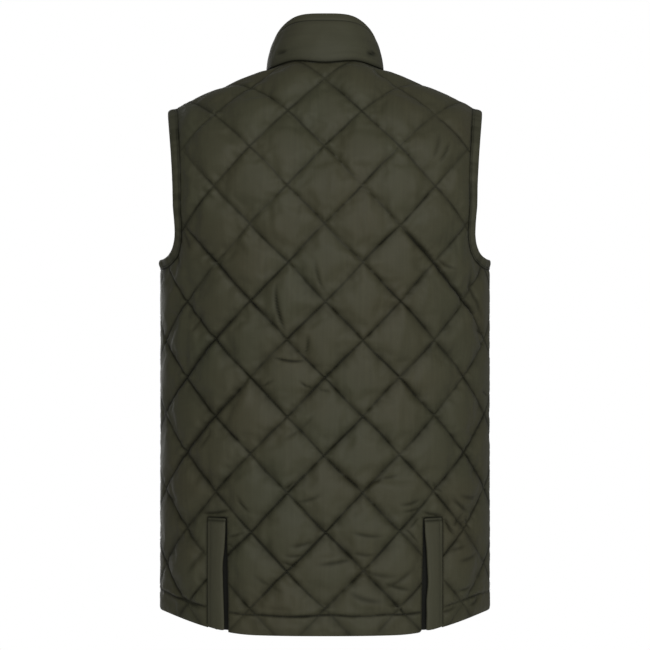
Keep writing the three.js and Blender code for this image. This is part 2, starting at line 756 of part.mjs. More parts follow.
const vest = new THREE.Group();
vest.add(named("back", quiltedPanel("back", backOutline()), CLOTH));
const leftFront = frontOutline();
const rightFront = [...leftFront].reverse().map(({ s, t }) => ({ s: -s, t }));
vest.add(named("front_left", quiltedPanel("front", leftFront), CLOTH));
vest.add(named("front_right", quiltedPanel("front", rightFront), CLOTH));
vest.add(named("collar", collar(), CLOTH));
for (const [suffix, wearerSide] of [["left", 1], ["right", -1]]) {
  vest.add(named(`armhole_binding_${suffix}`, armholeBinding(wearerSide), CLOTH));
  vest.add(named(`vent_band_${suffix}`, ventBand(wearerSide), CLOTH));
  vest.add(named(`vent_gusset_${suffix}`, ventGusset(wearerSide), CLOTH));
  vest.add(named(`zip_tape_${suffix}`, zipTape(wearerSide), TAPE_CLOTH));
}
vest.add(named("zip_chain", zipChain(), ZIP_METAL));

const onZip = zipFrame();
const pull = named("zip_pull", pullTab(), ZIP_METAL);
pull.position.y = -SLIDER.thickness - BRIDGE.rise / 2 + BRIDGE.thickness / 4;
pull.rotation.x = PULL.hang; // the plate leans on the foot of the slider
onZip.add(named("zip_slider", slider(), ZIP_METAL), pull);
vest.add(onZip);

export default vest;
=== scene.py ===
# %% [markdown]
# # A quilted vest, dressed from its pattern
# The vest is padded cloth, quilted in diamonds and sewn into a hollow, worn shape. Its pieces are cut flat, so this
# lesson draws each piece flat as well, lets a cloth simulation puff it up, and only then bends it to the body form.

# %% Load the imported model
import math

import bpy
import mathutils
import numpy as np
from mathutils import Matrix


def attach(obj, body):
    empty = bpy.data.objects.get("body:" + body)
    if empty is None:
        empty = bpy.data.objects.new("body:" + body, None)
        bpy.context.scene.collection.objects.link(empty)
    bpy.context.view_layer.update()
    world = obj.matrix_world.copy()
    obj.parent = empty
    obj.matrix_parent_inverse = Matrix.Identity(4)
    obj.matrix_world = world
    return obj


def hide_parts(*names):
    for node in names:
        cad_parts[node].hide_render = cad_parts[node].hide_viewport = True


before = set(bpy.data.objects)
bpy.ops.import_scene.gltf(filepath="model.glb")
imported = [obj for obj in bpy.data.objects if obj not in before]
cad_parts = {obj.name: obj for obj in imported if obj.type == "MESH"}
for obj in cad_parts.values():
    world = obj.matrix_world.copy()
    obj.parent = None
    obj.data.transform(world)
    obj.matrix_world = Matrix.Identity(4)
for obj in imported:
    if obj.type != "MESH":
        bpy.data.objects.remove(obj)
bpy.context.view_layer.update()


# %% [markdown]
# ## The camera
# The photo is taken from straight behind, from far off, at the middle of the vest's height. A long lens at three
# metres gives the same flat view. The camera comes first, so that every later piece can be judged through it.

# %% Camera
CAMERA_DISTANCE = 3.0
CAMERA_LEVEL = -0.339
VIEW_WIDTH = 0.858  # metres that the photo shows across, at the vest's middle

camera_data = bpy.data.cameras.new("camera")
camera_data.sensor_width = 36
camera_data.lens = camera_data.sensor_width * CAMERA_DISTANCE / VIEW_WIDTH
camera = bpy.data.objects.new("camera", camera_data)
camera.location = (0, CAMERA_DISTANCE, CAMERA_LEVEL)
camera.rotation_euler = (math.pi / 2, 0, math.pi)
bpy.context.collection.objects.link(camera)
bpy.context.scene.camera = camera
print("lens", round(camera_data.lens, 1), "mm")

# %% [markdown]
# ## The studio
# A pale room with one broad lamp near the camera: the light is soft, the middle of the back is the brightest, and the
# sides fall off as they turn away. The room's white shows behind the vest, while its light on the cloth is dimmer. The
# garment is worn and hangs at shoulder height, so the floor lies well below it.


# %% Colours and nodes
def srgb(hex_colour):
    """A colour as it is picked on a screen, turned to linear light."""
    channels = [int(hex_colour[i : i + 2], 16) / 255 for i in (1, 3, 5)]
    linear = [c / 12.92 if c <= 0.04045 else ((c + 0.055) / 1.055) ** 2.4 for c in channels]
    return (*linear, 1.0)


def add_node(tree, kind, links=None, **settings):
    """Adds one node. Settings that name an input set that input, and links name the sockets that feed the inputs."""
    node = tree.nodes.new(kind)
    for name, value in settings.items():
        if hasattr(node, name):
            setattr(node, name, value)
        else:
            node.inputs[name.replace("_", " ")].default_value = value
    for name, socket in (links or {}).items():
        tree.links.new(socket, node.inputs[name])
    return node


def new_material(name):
    """A material, its tree and its surface shader."""
    material = bpy.data.materials.new(name)
    material.use_nodes = True
    return material, material.node_tree, material.node_tree.nodes["Principled BSDF"]


# %% The room and its lamps
bpy.context.scene.view_settings.view_transform = "Standard"
ROOM_LIGHT = 0.16
world = bpy.data.worlds.new("studio")
bpy.context.scene.world = world
world.use_nodes = True
world.node_tree.nodes.clear()
seen = add_node(world.node_tree, "ShaderNodeLightPath").outputs["Is Camera Ray"]
dim = add_node(world.node_tree, "ShaderNodeBackground", Color=srgb("#ffffff"), Strength=ROOM_LIGHT)
bright = add_node(world.node_tree, "ShaderNodeBackground", Color=srgb("#ffffff"), Strength=1.0)
mixed = add_node(world.node_tree, "ShaderNodeMixShader", {0: seen, 1: dim.outputs[0], 2: bright.outputs[0]})
add_node(world.node_tree, "ShaderNodeOutputWorld", {"Surface": mixed.outputs[0]})

LAMPS = [
    {"name": "lamp_behind", "place": (-0.25, 2.9, 0.6), "size": 2.2, "watts": 48},
    {"name": "lamp_side", "place": (-1.9, 1.9, 0.4), "size": 1.4, "watts": 8},
    {"name": "lamp_front", "place": (0.8, -2.6, -0.1), "size": 1.8, "watts": 34},
]
for row in LAMPS:
    lamp_data = bpy.data.lights.new(row["name"], "AREA")
    lamp_data.size, lamp_data.energy = row["size"], row["watts"]
    lamp = bpy.data.objects.new(row["name"], lamp_data)
    lamp.location = row["place"]
    towards = mathutils.Vector((0, 0, CAMERA_LEVEL)) - lamp.location
    lamp.rotation_euler = towards.to_track_quat("-Z", "Y").to_euler()
    bpy.context.collection.objects.link(lamp)
print(len(LAMPS), "lamps")

# %% Floor
FLOOR_LEVEL = -1.35
bpy.ops.object.select_all(action="DESELECT")
bpy.ops.mesh.primitive_circle_add(vertices=96, radius=2.6, fill_type="NGON", location=(0, 0, FLOOR_LEVEL))
floor = bpy.context.object
floor.name = "floor"
floor_paint, _, paint = new_material("matt_pale_paint")
paint.inputs["Base Color"].default_value = srgb("#e9e9e7")
paint.inputs["Roughness"].default_value = 0.8
floor.data.materials.append(floor_paint)
print("the floor lies at", FLOOR_LEVEL, "m")

# %% [markdown]
# ## The body form
# Cloth can't stretch much, so a piece of a garment is a flat shape rolled onto the body. The form below says where
# each point of flat cloth lands: `s` runs sideways from the centre line, `t` runs down from the shoulder level, and
# all lengths in it are millimetres. Level sections are oval, and near the top each side turns over a quarter of an
# ellipse to the shoulder ridge. These are the numbers of the part's own source, so that the cloth fits the solids.

# %% Level sections
MM = 0.001
WIDTH_POWER = 2.6
FACING = {"back": 1, "front": -1}
WEARER_SIDES = {"left": 1, "right": -1}
SECTIONS = {
    "level": (-740, -430, -256, -170, -60),
    "half_width": (215.5, 215, 215, 228, 232),
    "back": (127, 119, 129, 131, 121),
    "front": (121, 120, 131, 127, 118),
    "roundness": (1.45, 1.45, 1.5, 1.9, 2),
}


def mix(a, b, share):
    return a + (b - a) * share


def smooth(share):
    share = np.clip(share, 0, 1)
    return share * share * (3 - 2 * share)


def running_total(steps):
    return np.concatenate([[0], np.cumsum(steps)])


def bell(distance, width):
    """1 at no distance, and almost nothing at twice the width."""
    return np.exp(-((distance / width) ** 2))


def section_value(column, z):
    """A column of the table of sections at level z, eased between its rows."""
    levels, values = (np.array(SECTIONS[name], float) for name in ("level", column))
    z = np.clip(z, levels[0], levels[-1])
    low = np.clip(np.searchsorted(levels, z, side="right") - 1, 0, len(levels) - 2)
    return mix(values[low], values[low + 1], smooth((z - levels[low]) / (levels[low + 1] - levels[low])))


def wall_depth(side, x, z):
    """How deep the form is at x, on the level section at z."""
    inside = np.clip(1 - (np.abs(x) / section_value("half_width", z)) ** WIDTH_POWER, 0, 1)
    return section_value(side, z) * inside ** (1 / section_value("roundness", z))


# %% Runs of cloth round a section
# How far the cloth has run round a level section is measured once, in a table of levels and shares of the way round.
TABLE_LEVELS = np.arange(-760, 96, 5.0)
TABLE_SHARES = np.linspace(0, 1, 401)


def section_table(side):
    angle = np.linspace(0, np.pi / 2, 801)
    across, deep, reach = [], [], []
    for z in TABLE_LEVELS:
        x = section_value("half_width", z) * np.sin(angle) ** (2 / WIDTH_POWER)
        y = section_value(side, z) * np.clip(np.cos(angle), 0, 1) ** (2 / section_value("roundness", z))
        run = running_total(np.hypot(np.diff(x), np.diff(y)))
        across.append(np.interp(TABLE_SHARES * run[-1], run, x))
        deep.append(np.interp(TABLE_SHARES * run[-1], run, y))
        reach.append(run[-1])
    return {"x": np.array(across), "y": np.array(deep), "reach": np.array(reach)}


TABLES = {side: section_table(side) for side in FACING}


def side_seam(side, z):
    """How far from the centre line the side seam is, along the cloth."""
    return np.interp(z, TABLE_LEVELS, TABLES[side]["reach"])


def round_section(side, s, z):
    """Where the cloth is after a run of s round the section at level z: x, and the depth from the middle."""
    table = TABLES[side]
    row = np.clip((z - TABLE_LEVELS[0]) / 5.0, 0, len(TABLE_LEVELS) - 1.001)
    column = np.clip(np.abs(s) / side_seam(side, z), 0, 1) * (len(TABLE_SHARES) - 1.001)
    i, j = row.astype(int), column.astype(int)
    down, along = row - i, column - j
    return [
        mix(mix(grid[i, j], grid[i, j + 1], along), mix(grid[i + 1, j], grid[i + 1, j + 1], along), down)
        for grid in (table["x"], table["y"])
    ]


print("half of the back is", round(float(side_seam("back", -713)), 1), "mm of cloth at the hem")

# %% [markdown]
# ### Shoulders
# The cloth leaves the upright wall some way below the shoulder ridge and turns over to it. Where a body is deep, at
# its centre line, the turn starts low. `place` gives the point on the form, and `over` lifts it off by a height.

# %% From flat cloth to the form
NECK_HALF_WIDTH = 73
NECK_REACH = {"back": 63, "front": 88}
NECK_AT_SIDE = -7
SHOULDER_HALF_WIDTH = 206
SHOULDER_SLOPE = 0.42
RIDGE_ROUNDING = 40
NECK_LIFT = 20
NECK_LIFT_WIDTH = 58
TURNS = {
    "back": {"at_arm": 95, "at_centre": 225, "width": 70},
    "front": {"at_arm": 105, "at_centre": 300, "width": 80},
}
TURN_ANGLES = np.linspace(0, np.pi / 2 + 0.06, 49)


def ridge_height(x):
    """The level of the shoulder ridge over x."""
    slope = np.hypot(x, RIDGE_ROUNDING) - np.hypot(NECK_HALF_WIDTH, RIDGE_ROUNDING)
    return NECK_AT_SIDE + NECK_LIFT * np.exp(-((x / NECK_LIFT_WIDTH) ** 4)) - SHOULDER_SLOPE * slope


def turn_of(side, x):
    """The turn over the point x: its rise, the level where it starts, and the run of cloth up to each turn angle."""
    row = TURNS[side]
    rise = row["at_arm"] + (row["at_centre"] - row["at_arm"]) * bell(x, row["width"])
    start = ridge_height(x) - rise
    reach = wall_depth(side, x, start)
    steps = np.hypot(
        np.multiply.outer(rise, np.diff(np.sin(TURN_ANGLES))), np.multiply.outer(reach, np.diff(np.cos(TURN_ANGLES)))
    )
    run = np.concatenate([np.zeros((*np.shape(x), 1)), np.cumsum(steps, axis=-1)], axis=-1)
    return rise, start, run


# %% Place a point of cloth on the form
def step_ends(run, k):
    """The runs at both ends of step k of the turn."""
    return (np.take_along_axis(run, k[..., None] + end, -1)[..., 0] for end in (0, 1))


def place(side, s, t):
    """The point of the form where a flat point lands."""
    x, depth = round_section(side, s, -t)
    rise, start, run = turn_of(side, x)
    past = np.maximum(0, -t - start)
    k = np.clip((run <= past[..., None]).sum(-1) - 1, 0, len(TURN_ANGLES) - 2)
    low, high = step_ends(run, k)
    angle = mix(TURN_ANGLES[k], TURN_ANGLES[k + 1], np.clip((past - low) / (high - low), 0, 1))
    upright = -t <= start
    z = np.where(upright, -t, start + rise * np.sin(angle))
    y = np.where(upright, depth, wall_depth(side, x, z) * np.cos(angle))
    return np.stack([np.copysign(x, s), FACING[side] * y, z], axis=-1)


PROBE = 0.4


def outward(side, s, t):
    """The form's outward direction at a flat point, from two short steps beside it."""
    here = place(side, s, t)
    inner = np.where(s > 0, -PROBE, PROBE)
    across = (place(side, s + inner, t) - here) * np.sign(inner)[..., None]
    down = place(side, s, t + PROBE) - here
    normal = np.cross(across, down) * FACING[side]
    return normal / np.linalg.norm(normal, axis=-1, keepdims=True)


def over(side, s, t, height):
    """The point at a height over the form."""
    s, t, height = (np.asarray(value, float) for value in np.broadcast_arrays(s, t, height))
    return place(side, s, t) + outward(side, s, t) * height[..., None]


# %% Lay a point flat again
def flatten(side, x, z):
    """The flat coordinates of a point of the form that is given by x and z."""
    x, z = (np.asarray(value, float) for value in np.broadcast_arrays(x, z))
    rise, start, run = turn_of(side, x)
    angle = np.arcsin(np.clip((z - start) / rise, 0, 1))
    k = np.clip((angle / TURN_ANGLES[1]).astype(int), 0, len(TURN_ANGLES) - 2)
    low, high = step_ends(run, k)
    t = np.where(z > start, -start - mix(low, high, angle / TURN_ANGLES[1] - k), -z)
    near, far = np.zeros(x.shape), side_seam(side, -t)
    for _ in range(40):
        middle = (near + far) / 2
        short = round_section(side, middle, -t)[0] < x
        near, far = np.where(short, middle, near), np.where(short, far, middle)
    return (near + far) / 2, t


checked = flatten("back", np.array([40.0, 150.0]), np.array([-100.0, -300.0]))
print("a point laid flat and placed again is off by", np.abs(place("back", *checked)[:, 2] - [-100, -300]).max(), "mm")

# %% [markdown]
# ## The pattern
# A maker's pattern piece is an outline: neck, shoulder, armhole, side seam and hem. It is drawn as runs between its
# corners, so that a corner stays sharp when the runs are divided into short steps. The back has a notch for each vent.

# %% Outline runs
ARMHOLE_BOTTOM = -253
ARMHOLE_MIDDLE = -185
ARMHOLE_HALF_WIDTH = {"back": 194.5, "front": 188}
ARMHOLE_POWER = 3
BINDING_WIDTH = 13.2
SEAM_GAP = 0.3
HEM_AT_SIDE = -713
HEM_DROP = {"back": 18.5, "front": 8}
ZIP_EDGE = 5.2
VENT_HALF_SPACING = 125
VENT_TOP = -584.5
VENT_BAND_WIDTH = 28
vent_line = float(flatten("back", VENT_HALF_SPACING, HEM_AT_SIDE)[0])


# %% Neck, armhole and hem
def neck_point(angle, side):
    """A point of the neck seam, by the angle round the neck from the centre back."""
    angle = np.asarray(angle, float)
    x, reach = NECK_HALF_WIDTH * np.sin(np.abs(angle)), NECK_REACH[side] * np.abs(np.cos(angle))
    rise, start, _ = turn_of(side, x)
    z = start + rise
    for _ in range(8):
        z = start + rise * np.sqrt(np.clip(1 - (reach / wall_depth(side, x, z)) ** 2, 0, 1))
    s, t = flatten(side, x, z)
    return np.where(angle < 0, -s, s), t


def armhole_curve(side, inset, lower_steps, upper_steps):
    """A half of the armhole, from the underarm to the shoulder, moved in from the edge by an inset."""
    middle_s, middle_t = flatten(side, ARMHOLE_HALF_WIDTH[side], ARMHOLE_MIDDLE)
    bottom = -ARMHOLE_BOTTOM + inset
    angle = np.pi / 2 * (1 - np.linspace(0, 1, lower_steps + 1))
    lower_s = mix(side_seam(side, -bottom), middle_s - inset, np.clip(np.cos(angle), 0, 1) ** (2 / ARMHOLE_POWER))
    lower_t = mix(middle_t, bottom, np.sin(angle) ** (2 / ARMHOLE_POWER))
    share = np.linspace(0, 1, upper_steps + 1)[1:]
    edge = mix(ARMHOLE_HALF_WIDTH[side], SHOULDER_HALF_WIDTH, share**2)
    edge_s, edge_t = flatten(side, edge, mix(ARMHOLE_MIDDLE, ridge_height(edge), share))
    x = round_section(side, edge_s - inset * mix(1, 1.3, share), -edge_t)[0]
    upper_s, upper_t = flatten(side, x, mix(ARMHOLE_MIDDLE, ridge_height(x), share))
    return np.concatenate([lower_s, upper_s]), np.concatenate([lower_t, upper_t])


def hem_level(side, s):
    """How far down the hem is at s."""
    share = np.abs(s) / side_seam(side, HEM_AT_SIDE)
    return -HEM_AT_SIDE + HEM_DROP[side] * smooth((0.95 - share) / 0.62)


def vent_half_gap(t):
    """Half the width of a slit, which opens a little downwards."""
    return mix(1.4, 5.4, smooth((t + VENT_TOP) / (-HEM_AT_SIDE + VENT_TOP))) / 2


def run_of(s, t):
    return np.stack(np.broadcast_arrays(np.asarray(s, float), t), axis=-1)


def upper_runs(side):
    """Neck, shoulder, armhole and side seam of the half with positive s."""
    angles = np.linspace(0, np.pi / 2, 40) if side == "back" else np.linspace(np.pi, np.pi / 2, 40)
    neck = run_of(*neck_point(angles, side))
    armhole = run_of(*armhole_curve(side, BINDING_WIDTH + SEAM_GAP, 60, 50))[::-1]
    shoulder_end = place(side, armhole[0, 0], armhole[0, 1])[0]
    x = np.linspace(NECK_HALF_WIDTH, shoulder_end, 40)
    shoulder = run_of(*flatten(side, x, ridge_height(x)))
    shoulder[0], shoulder[-1] = neck[-1], armhole[0]
    t = np.linspace(-ARMHOLE_BOTTOM + BINDING_WIDTH, -HEM_AT_SIDE, 80)
    seam = run_of(side_seam(side, -t), t)
    armhole[-1] = seam[0]
    return [neck, shoulder, armhole, seam]


# %% Outlines of the back and the fronts
def back_runs():
    seam = float(side_seam("back", HEM_AT_SIDE))
    band_edge = vent_line + VENT_BAND_WIDTH
    outer = np.linspace(seam, band_edge, 30)
    slit_t = np.linspace(-VENT_TOP, float(hem_level("back", vent_line)), 30)
    slit = run_of(vent_line - vent_half_gap(slit_t), slit_t)
    inner = np.linspace(slit[-1, 0], 0, 40)
    half = [
        *upper_runs("back"),
        run_of(outer, hem_level("back", outer)),
        run_of([band_edge, band_edge], [float(hem_level("back", band_edge)), -VENT_TOP]),
        run_of([band_edge, slit[0, 0]], [-VENT_TOP, -VENT_TOP]),
        slit,
        run_of(inner, hem_level("back", inner)),
    ]
    return half + [run[::-1] * [-1, 1] for run in reversed(half)]


def front_runs():
    upper = upper_runs("front")
    neck = upper[0][upper[0][:, 0] > ZIP_EDGE + 0.5]
    top = [ZIP_EDGE, float(np.interp(ZIP_EDGE, upper[0][:, 0], upper[0][:, 1]))]
    neck = np.concatenate([[top], neck])
    hem = np.linspace(float(side_seam("front", HEM_AT_SIDE)), ZIP_EDGE, 60)
    edge = run_of([ZIP_EDGE, ZIP_EDGE], [float(hem_level("front", ZIP_EDGE)), top[1]])
    return [neck, *upper[1:], run_of(hem, hem_level("front", hem)), edge]


PATTERN = {"back": ("back", back_runs()), "front_left": ("front", front_runs())}
PATTERN["front_right"] = ("front", [run[::-1] * [-1, 1] for run in reversed(front_runs())])
for name, (side, runs) in PATTERN.items():
    loop = np.concatenate([run[:-1] for run in runs])
    area = 0.5 * abs(np.sum(loop[:, 0] * np.roll(loop[:, 1], -1) - loop[:, 1] * np.roll(loop[:, 0], -1)))
    print(name, "is", round(area * MM * MM, 4), "square metres of flat cloth")

# %% [markdown]
# ## The quilting grid
# The two cloths and the wadding are stitched together along two sets of slanting lines. A mesh that is to fold well
# has its edges on those lines, so its points stand on the lattice of diamonds. A triangulation that keeps given edges
# joins them to the outline and to the hem's stitch line, which is neater than cutting a grid with a knife.

# %% Lattice of diamonds
DIAMOND_WIDE = 95
DIAMOND_HIGH = 97.5
DIAMOND_SIDE = 68
QUILT_TOP = 16
CELLS = 14  # cloth cells along a diamond's side, about 5 mm each
HEM_WIDTH = 25
CLEAR_OF_EDGE = 2.2  # mm that inner points keep from the outline
CLEAR_OF_HEM = 2.0  # and from the hem's stitch line
FINE_STEP = 0.25  # mm, for finding where a run crosses a quilting line
SHORTEST = 8  # fine steps between two such crossings


def to_lattice(s, t):
    across, down = s / DIAMOND_WIDE, (t - QUILT_TOP) / DIAMOND_HIGH
    return across + down, across - down


def off_line(across):
    """How far a lattice coordinate is from the nearest line of its set."""
    return np.abs(across - np.round(across))


def from_lattice(u, v):
    return DIAMOND_WIDE * (u + v) / 2, QUILT_TOP + DIAMOND_HIGH * (u - v) / 2


# %% Lines and outlines
def lengths_along(line):
    """How far each point of a line is from its first one, along the line."""
    return running_total(np.linalg.norm(np.diff(line, axis=0), axis=1))


def resample(run, spacing):
    """A run in equal steps of about a spacing."""
    length = lengths_along(run)
    count = max(1, round(length[-1] / spacing))
    at = np.linspace(0, length[-1], count + 1)
    return np.stack([np.interp(at, length, run[:, k]) for k in (0, 1)], axis=1)


def divide(run, spacing):
    """Divides a run into steps, with a point wherever it crosses a quilting line."""
    fine = resample(run, FINE_STEP)
    breaks = [0]
    for lines in to_lattice(fine[:, 0], fine[:, 1]):
        breaks += list(np.nonzero(np.diff(np.floor(lines)))[0] + 1)
    breaks = sorted(set(breaks + [len(fine) - 1]))
    kept = [0] + [b for b in breaks if SHORTEST < b < len(fine) - 1 - SHORTEST] + [len(fine) - 1]
    kept = [a for a, b in zip(kept, kept[1:] + [10**9]) if b - a > SHORTEST or a == 0]
    if kept[-1] != len(fine) - 1:
        kept.append(len(fine) - 1)
    parts = [resample(fine[a : b + 1], spacing)[:-1] for a, b in zip(kept, kept[1:])]
    return np.concatenate([*parts, fine[-1:]])


def inside(loop, points):
    """Whether each point is inside an outline, by counting the edges to its right."""
    hits = np.zeros(len(points), int)
    for a, b in zip(loop, np.roll(loop, -1, axis=0)):
        between = (a[1] > points[:, 1]) != (b[1] > points[:, 1])
        rise = b[1] - a[1] if b[1] != a[1] else 1e-12
        hits += between & (points[:, 0] < a[0] + (b[0] - a[0]) * (points[:, 1] - a[1]) / rise)
    return hits % 2 == 1


def distance_to(line, points, closed=True):
    """How far each point is from a line."""
    nearest = np.full(len(points), np.inf)
    ends = np.roll(line, -1, axis=0) if closed else line[1:]
    for a, b in zip(line, ends):
        way = b - a
        share = np.clip(((points - a) @ way) / max(1e-9, way @ way), 0, 1)
        nearest = np.minimum(nearest, np.linalg.norm(points - a - share[:, None] * way, axis=1))
    return nearest


# %% Flat meshes
def lattice_reach(loop):
    """How many lines the lattice needs on each side of its origin to cover an outline."""
    return int(np.ceil(max(np.abs(k).max() for k in to_lattice(loop[:, 0], loop[:, 1])))) + 1


def lattice_points(loop, cells):
    """The corners of the lattice's cells near an outline, with so many cells along a diamond's side."""
    reach = lattice_reach(loop)
    steps = np.arange(-reach * cells, reach * cells + 1) / cells
    points = np.stack(from_lattice(*(grid.ravel() for grid in np.meshgrid(steps, steps))), axis=1)
    return points[((points > loop.min(0)) & (points < loop.max(0))).all(1)]


def triangulate(points, edges, outline, tolerance):
    """Triangles on given points that keep given edges and fill the outline, which is the first so many points."""
    corners = [mathutils.Vector(point) for point in points.tolist()]
    cut = mathutils.geometry.delaunay_2d_cdt(corners, edges, [list(range(outline))], 1, tolerance)
    return np.array([tuple(point) for point in cut[0]]), cut[2]


def flat_mesh(side, runs):
    """Points and triangles of a flat piece, whose edges follow the quilting and the hem's stitches, and its outline."""
    spacing = DIAMOND_SIDE / CELLS
    loop = np.concatenate([divide(run, spacing)[:-1] for run in runs])
    points = lattice_points(loop, CELLS)
    points = points[inside(loop, points) & (distance_to(loop, points) > CLEAR_OF_EDGE)]
    hem_s = np.linspace(loop[:, 0].min(), loop[:, 0].max(), 800)
    hem = run_of(hem_s, hem_level(side, hem_s) - HEM_WIDTH)
    hem_parts = divide(hem, spacing)
    hem_in = inside(loop, hem_parts) & (distance_to(loop, hem_parts) > 1.5)
    points = points[distance_to(hem_parts, points, closed=False) > CLEAR_OF_HEM]
    every = np.concatenate([loop, hem_parts[hem_in], points])
    edges = []
    index = len(loop)
    for i in range(len(hem_parts) - 1):
        if hem_in[i] and hem_in[i + 1]:
            edges.append((index, index + 1))
        index += int(hem_in[i])
    return *triangulate(every, edges, len(loop), 1e-4), loop


FLAT_MESHES = {name: flat_mesh(*PATTERN[name]) for name in PATTERN}
for name, (made, faces, _) in FLAT_MESHES.items():
    print("flat,", name, "has", len(made), "points and", len(faces), "triangles")

# %% [markdown]
# ## Puffing the cloth
# Wadding presses the outer cloth outwards everywhere except on the stitches. The outer cloth is also a little larger
# than the lining it is stitched to, so it wrinkles where it is held. A cloth simulation does both: the stitched points
# are pinned, the cloth grows a few hundredths, and pressure lifts it.

# %% Heights of padded cloth
STITCHED = 2.6
PUFF = 4.6
PUFF_SQUARENESS = 0.36
EDGE_HEIGHT = 1.7
SEAM_FADE = 20
SIDE_FADE = 70
SIDE_PUFF = 0.08  # share of the puff that is left at a side seam
SHOULDER_FADE = 70
SHOULDER_PUFF = 0.18  # share that is left at the shoulder seam
PUCKER = 2.1
RUN_APART = 631  # mm between the random waves of neighbouring quilting lines
THINNEST = 0.9
ON_LINE = 0.3  # a point this near to a quilting line is on it
CAP = 3.0  # how far a point may move from the smooth puff, in mm
LINING_CELLS = 5  # cells along a diamond's side of the plain lining
SEAM_CREASE = 0.85  # how sharp the subdivision keeps a stitched edge
SIMULATED_FRAMES = 20


# %% Meshes as arrays
def deselect_all():
    bpy.ops.object.select_all(action="DESELECT")


def make_active(piece):
    deselect_all()
    piece.select_set(True)
    bpy.context.view_layer.objects.active = piece


def edit_all(*steps):
    """Selects the whole active mesh in edit mode before each operator, given with its settings."""
    bpy.ops.object.mode_set(mode="EDIT")
    for operator, settings in steps:
        bpy.ops.mesh.select_all(action="SELECT")
        operator(**settings)
    bpy.ops.object.mode_set(mode="OBJECT")


OUTWARDS = (bpy.ops.mesh.normals_make_consistent, {"inside": False})


def new_piece(name, points, faces):
    mesh = bpy.data.meshes.new(name)
    mesh.from_pydata(points.tolist(), [], faces)
    piece = bpy.data.objects.new(name, mesh)
    bpy.context.collection.objects.link(piece)
    make_active(piece)
    return piece


def triangles_of(piece):
    piece.data.calc_loop_triangles()
    return len(piece.data.loop_triangles)


def values_of(items, key, width=1, kind=int):
    """One value or row of values of each vertex, edge, corner or face, as an array."""
    values = np.empty(len(items) * width, kind)
    items.foreach_get(key, values)
    return values.reshape(-1, width) if width > 1 else values


def coordinates(piece):
    return values_of(piece.data.vertices, "co", 3, float)


def set_coordinates(piece, points):
    piece.data.vertices.foreach_set("co", np.asarray(points, float).ravel())
    piece.data.update()


# %% Puffs, puckers and creep
def stitched_distance(side, s, t):
    """How far a point is from the nearest quilting line, in mm."""
    step = DIAMOND_WIDE * DIAMOND_HIGH / np.hypot(DIAMOND_WIDE, DIAMOND_HIGH)
    u, v = to_lattice(s, t)
    return step * np.minimum(off_line(u), off_line(v))


def ripple(distance, wavelength, seed):
    """A smooth random wave between -1 and 1 along a distance."""
    knots = np.random.default_rng(seed).uniform(-1, 1, 4000)
    at = np.asarray(distance, float) / (wavelength / 2) + 2000
    low = np.floor(at).astype(int) % 3998
    return mix(knots[low], knots[low + 1], smooth(at - np.floor(at)))


def smooth_puff(side, loop, s, t):
    u, v = to_lattice(s, t)
    diamond = (np.abs(np.sin(np.pi * u)) * np.abs(np.sin(np.pi * v))) ** PUFF_SQUARENESS
    from_edge = distance_to(loop, np.stack([s, t], axis=1))
    height = mix(EDGE_HEIGHT, STITCHED, smooth(from_edge / 6)) + PUFF * diamond * smooth(from_edge / SEAM_FADE)
    from_hem = (hem_level(side, s) - t) / HEM_WIDTH
    in_hem = 3.0 + 0.9 * np.sin(np.pi * np.clip(from_hem, 0, 1)) - 0.5 * (np.abs(from_hem - 1) < 0.02)
    return np.where(from_hem <= 1.02, np.minimum(height, in_hem), height)


def wander(s, t, from_edge):
    """How far sewn cloth has crept sideways and down from the drawn pattern. Its edges stay where they are."""
    free = smooth(from_edge / 25)
    sideways = 1.3 * ripple(t + 0.3 * s, 90, 81) + 0.6 * ripple(s - 0.5 * t, 41, 82)
    down = 1.3 * ripple(s - 0.3 * t, 84, 83) + 0.6 * ripple(t + 0.6 * s, 37, 84)
    return s + sideways * free, t + down * free


def seam_pucker(side, s, t):
    """Short ridges across each quilting line, where the thread has drawn the cloth together."""
    total = np.zeros(len(s))
    u, v = to_lattice(s, t)
    for number, (across, along) in enumerate(((u, v), (v, u))):
        away = DIAMOND_SIDE * off_line(across)
        run = along * DIAMOND_SIDE + RUN_APART * np.round(across)
        waves = 0.6 * ripple(run, 8.5, 41 + number) + 0.55 * ripple(run, 15, 43 + number)
        crossing = DIAMOND_SIDE * off_line(along)
        strength = 0.25 + 0.5 * np.abs(ripple(run, 90, 45 + number)) + 0.7 * bell(crossing, 15)
        total += waves * strength * bell(away, 8) * (1 - bell(away, 1.8))
    return PUCKER * total


# %% Cloth simulation
def puffed(name, side, made, faces, loop):
    """The flat outer cloth as an object, in metres: s, -t and the height."""
    s, t = made[:, 0], made[:, 1]
    on_hem = np.abs(hem_level(side, s) - HEM_WIDTH - t) < ON_LINE
    held = (stitched_distance(side, s, t) < ON_LINE) | on_hem | (distance_to(loop, made) < 0.05)
    wobble = np.random.default_rng(len(made)).normal(0, 0.12, len(made))
    start = np.stack([s, -t, smooth_puff(side, loop, s, t) + np.where(held, 0, wobble)], axis=1) * MM
    piece = new_piece(name, start, [face if is_up(start, face) else face[::-1] for face in faces])
    limits = {"face_threshold": math.radians(25), "shape_threshold": math.radians(35)}
    edit_all((bpy.ops.mesh.tris_convert_to_quads, limits))
    pins = piece.vertex_groups.new(name="stitched")
    pins.add(np.nonzero(held)[0].tolist(), 1.0, "REPLACE")
    simulate(piece)
    moved = coordinates(piece) - start
    too_far = np.maximum(1, np.linalg.norm(moved, axis=1) / (CAP * MM))
    set_coordinates(piece, start + moved / too_far[:, None])
    print(name, "moved by up to", round(float(np.abs(moved).max()) * 1000, 2), "mm")
    return piece


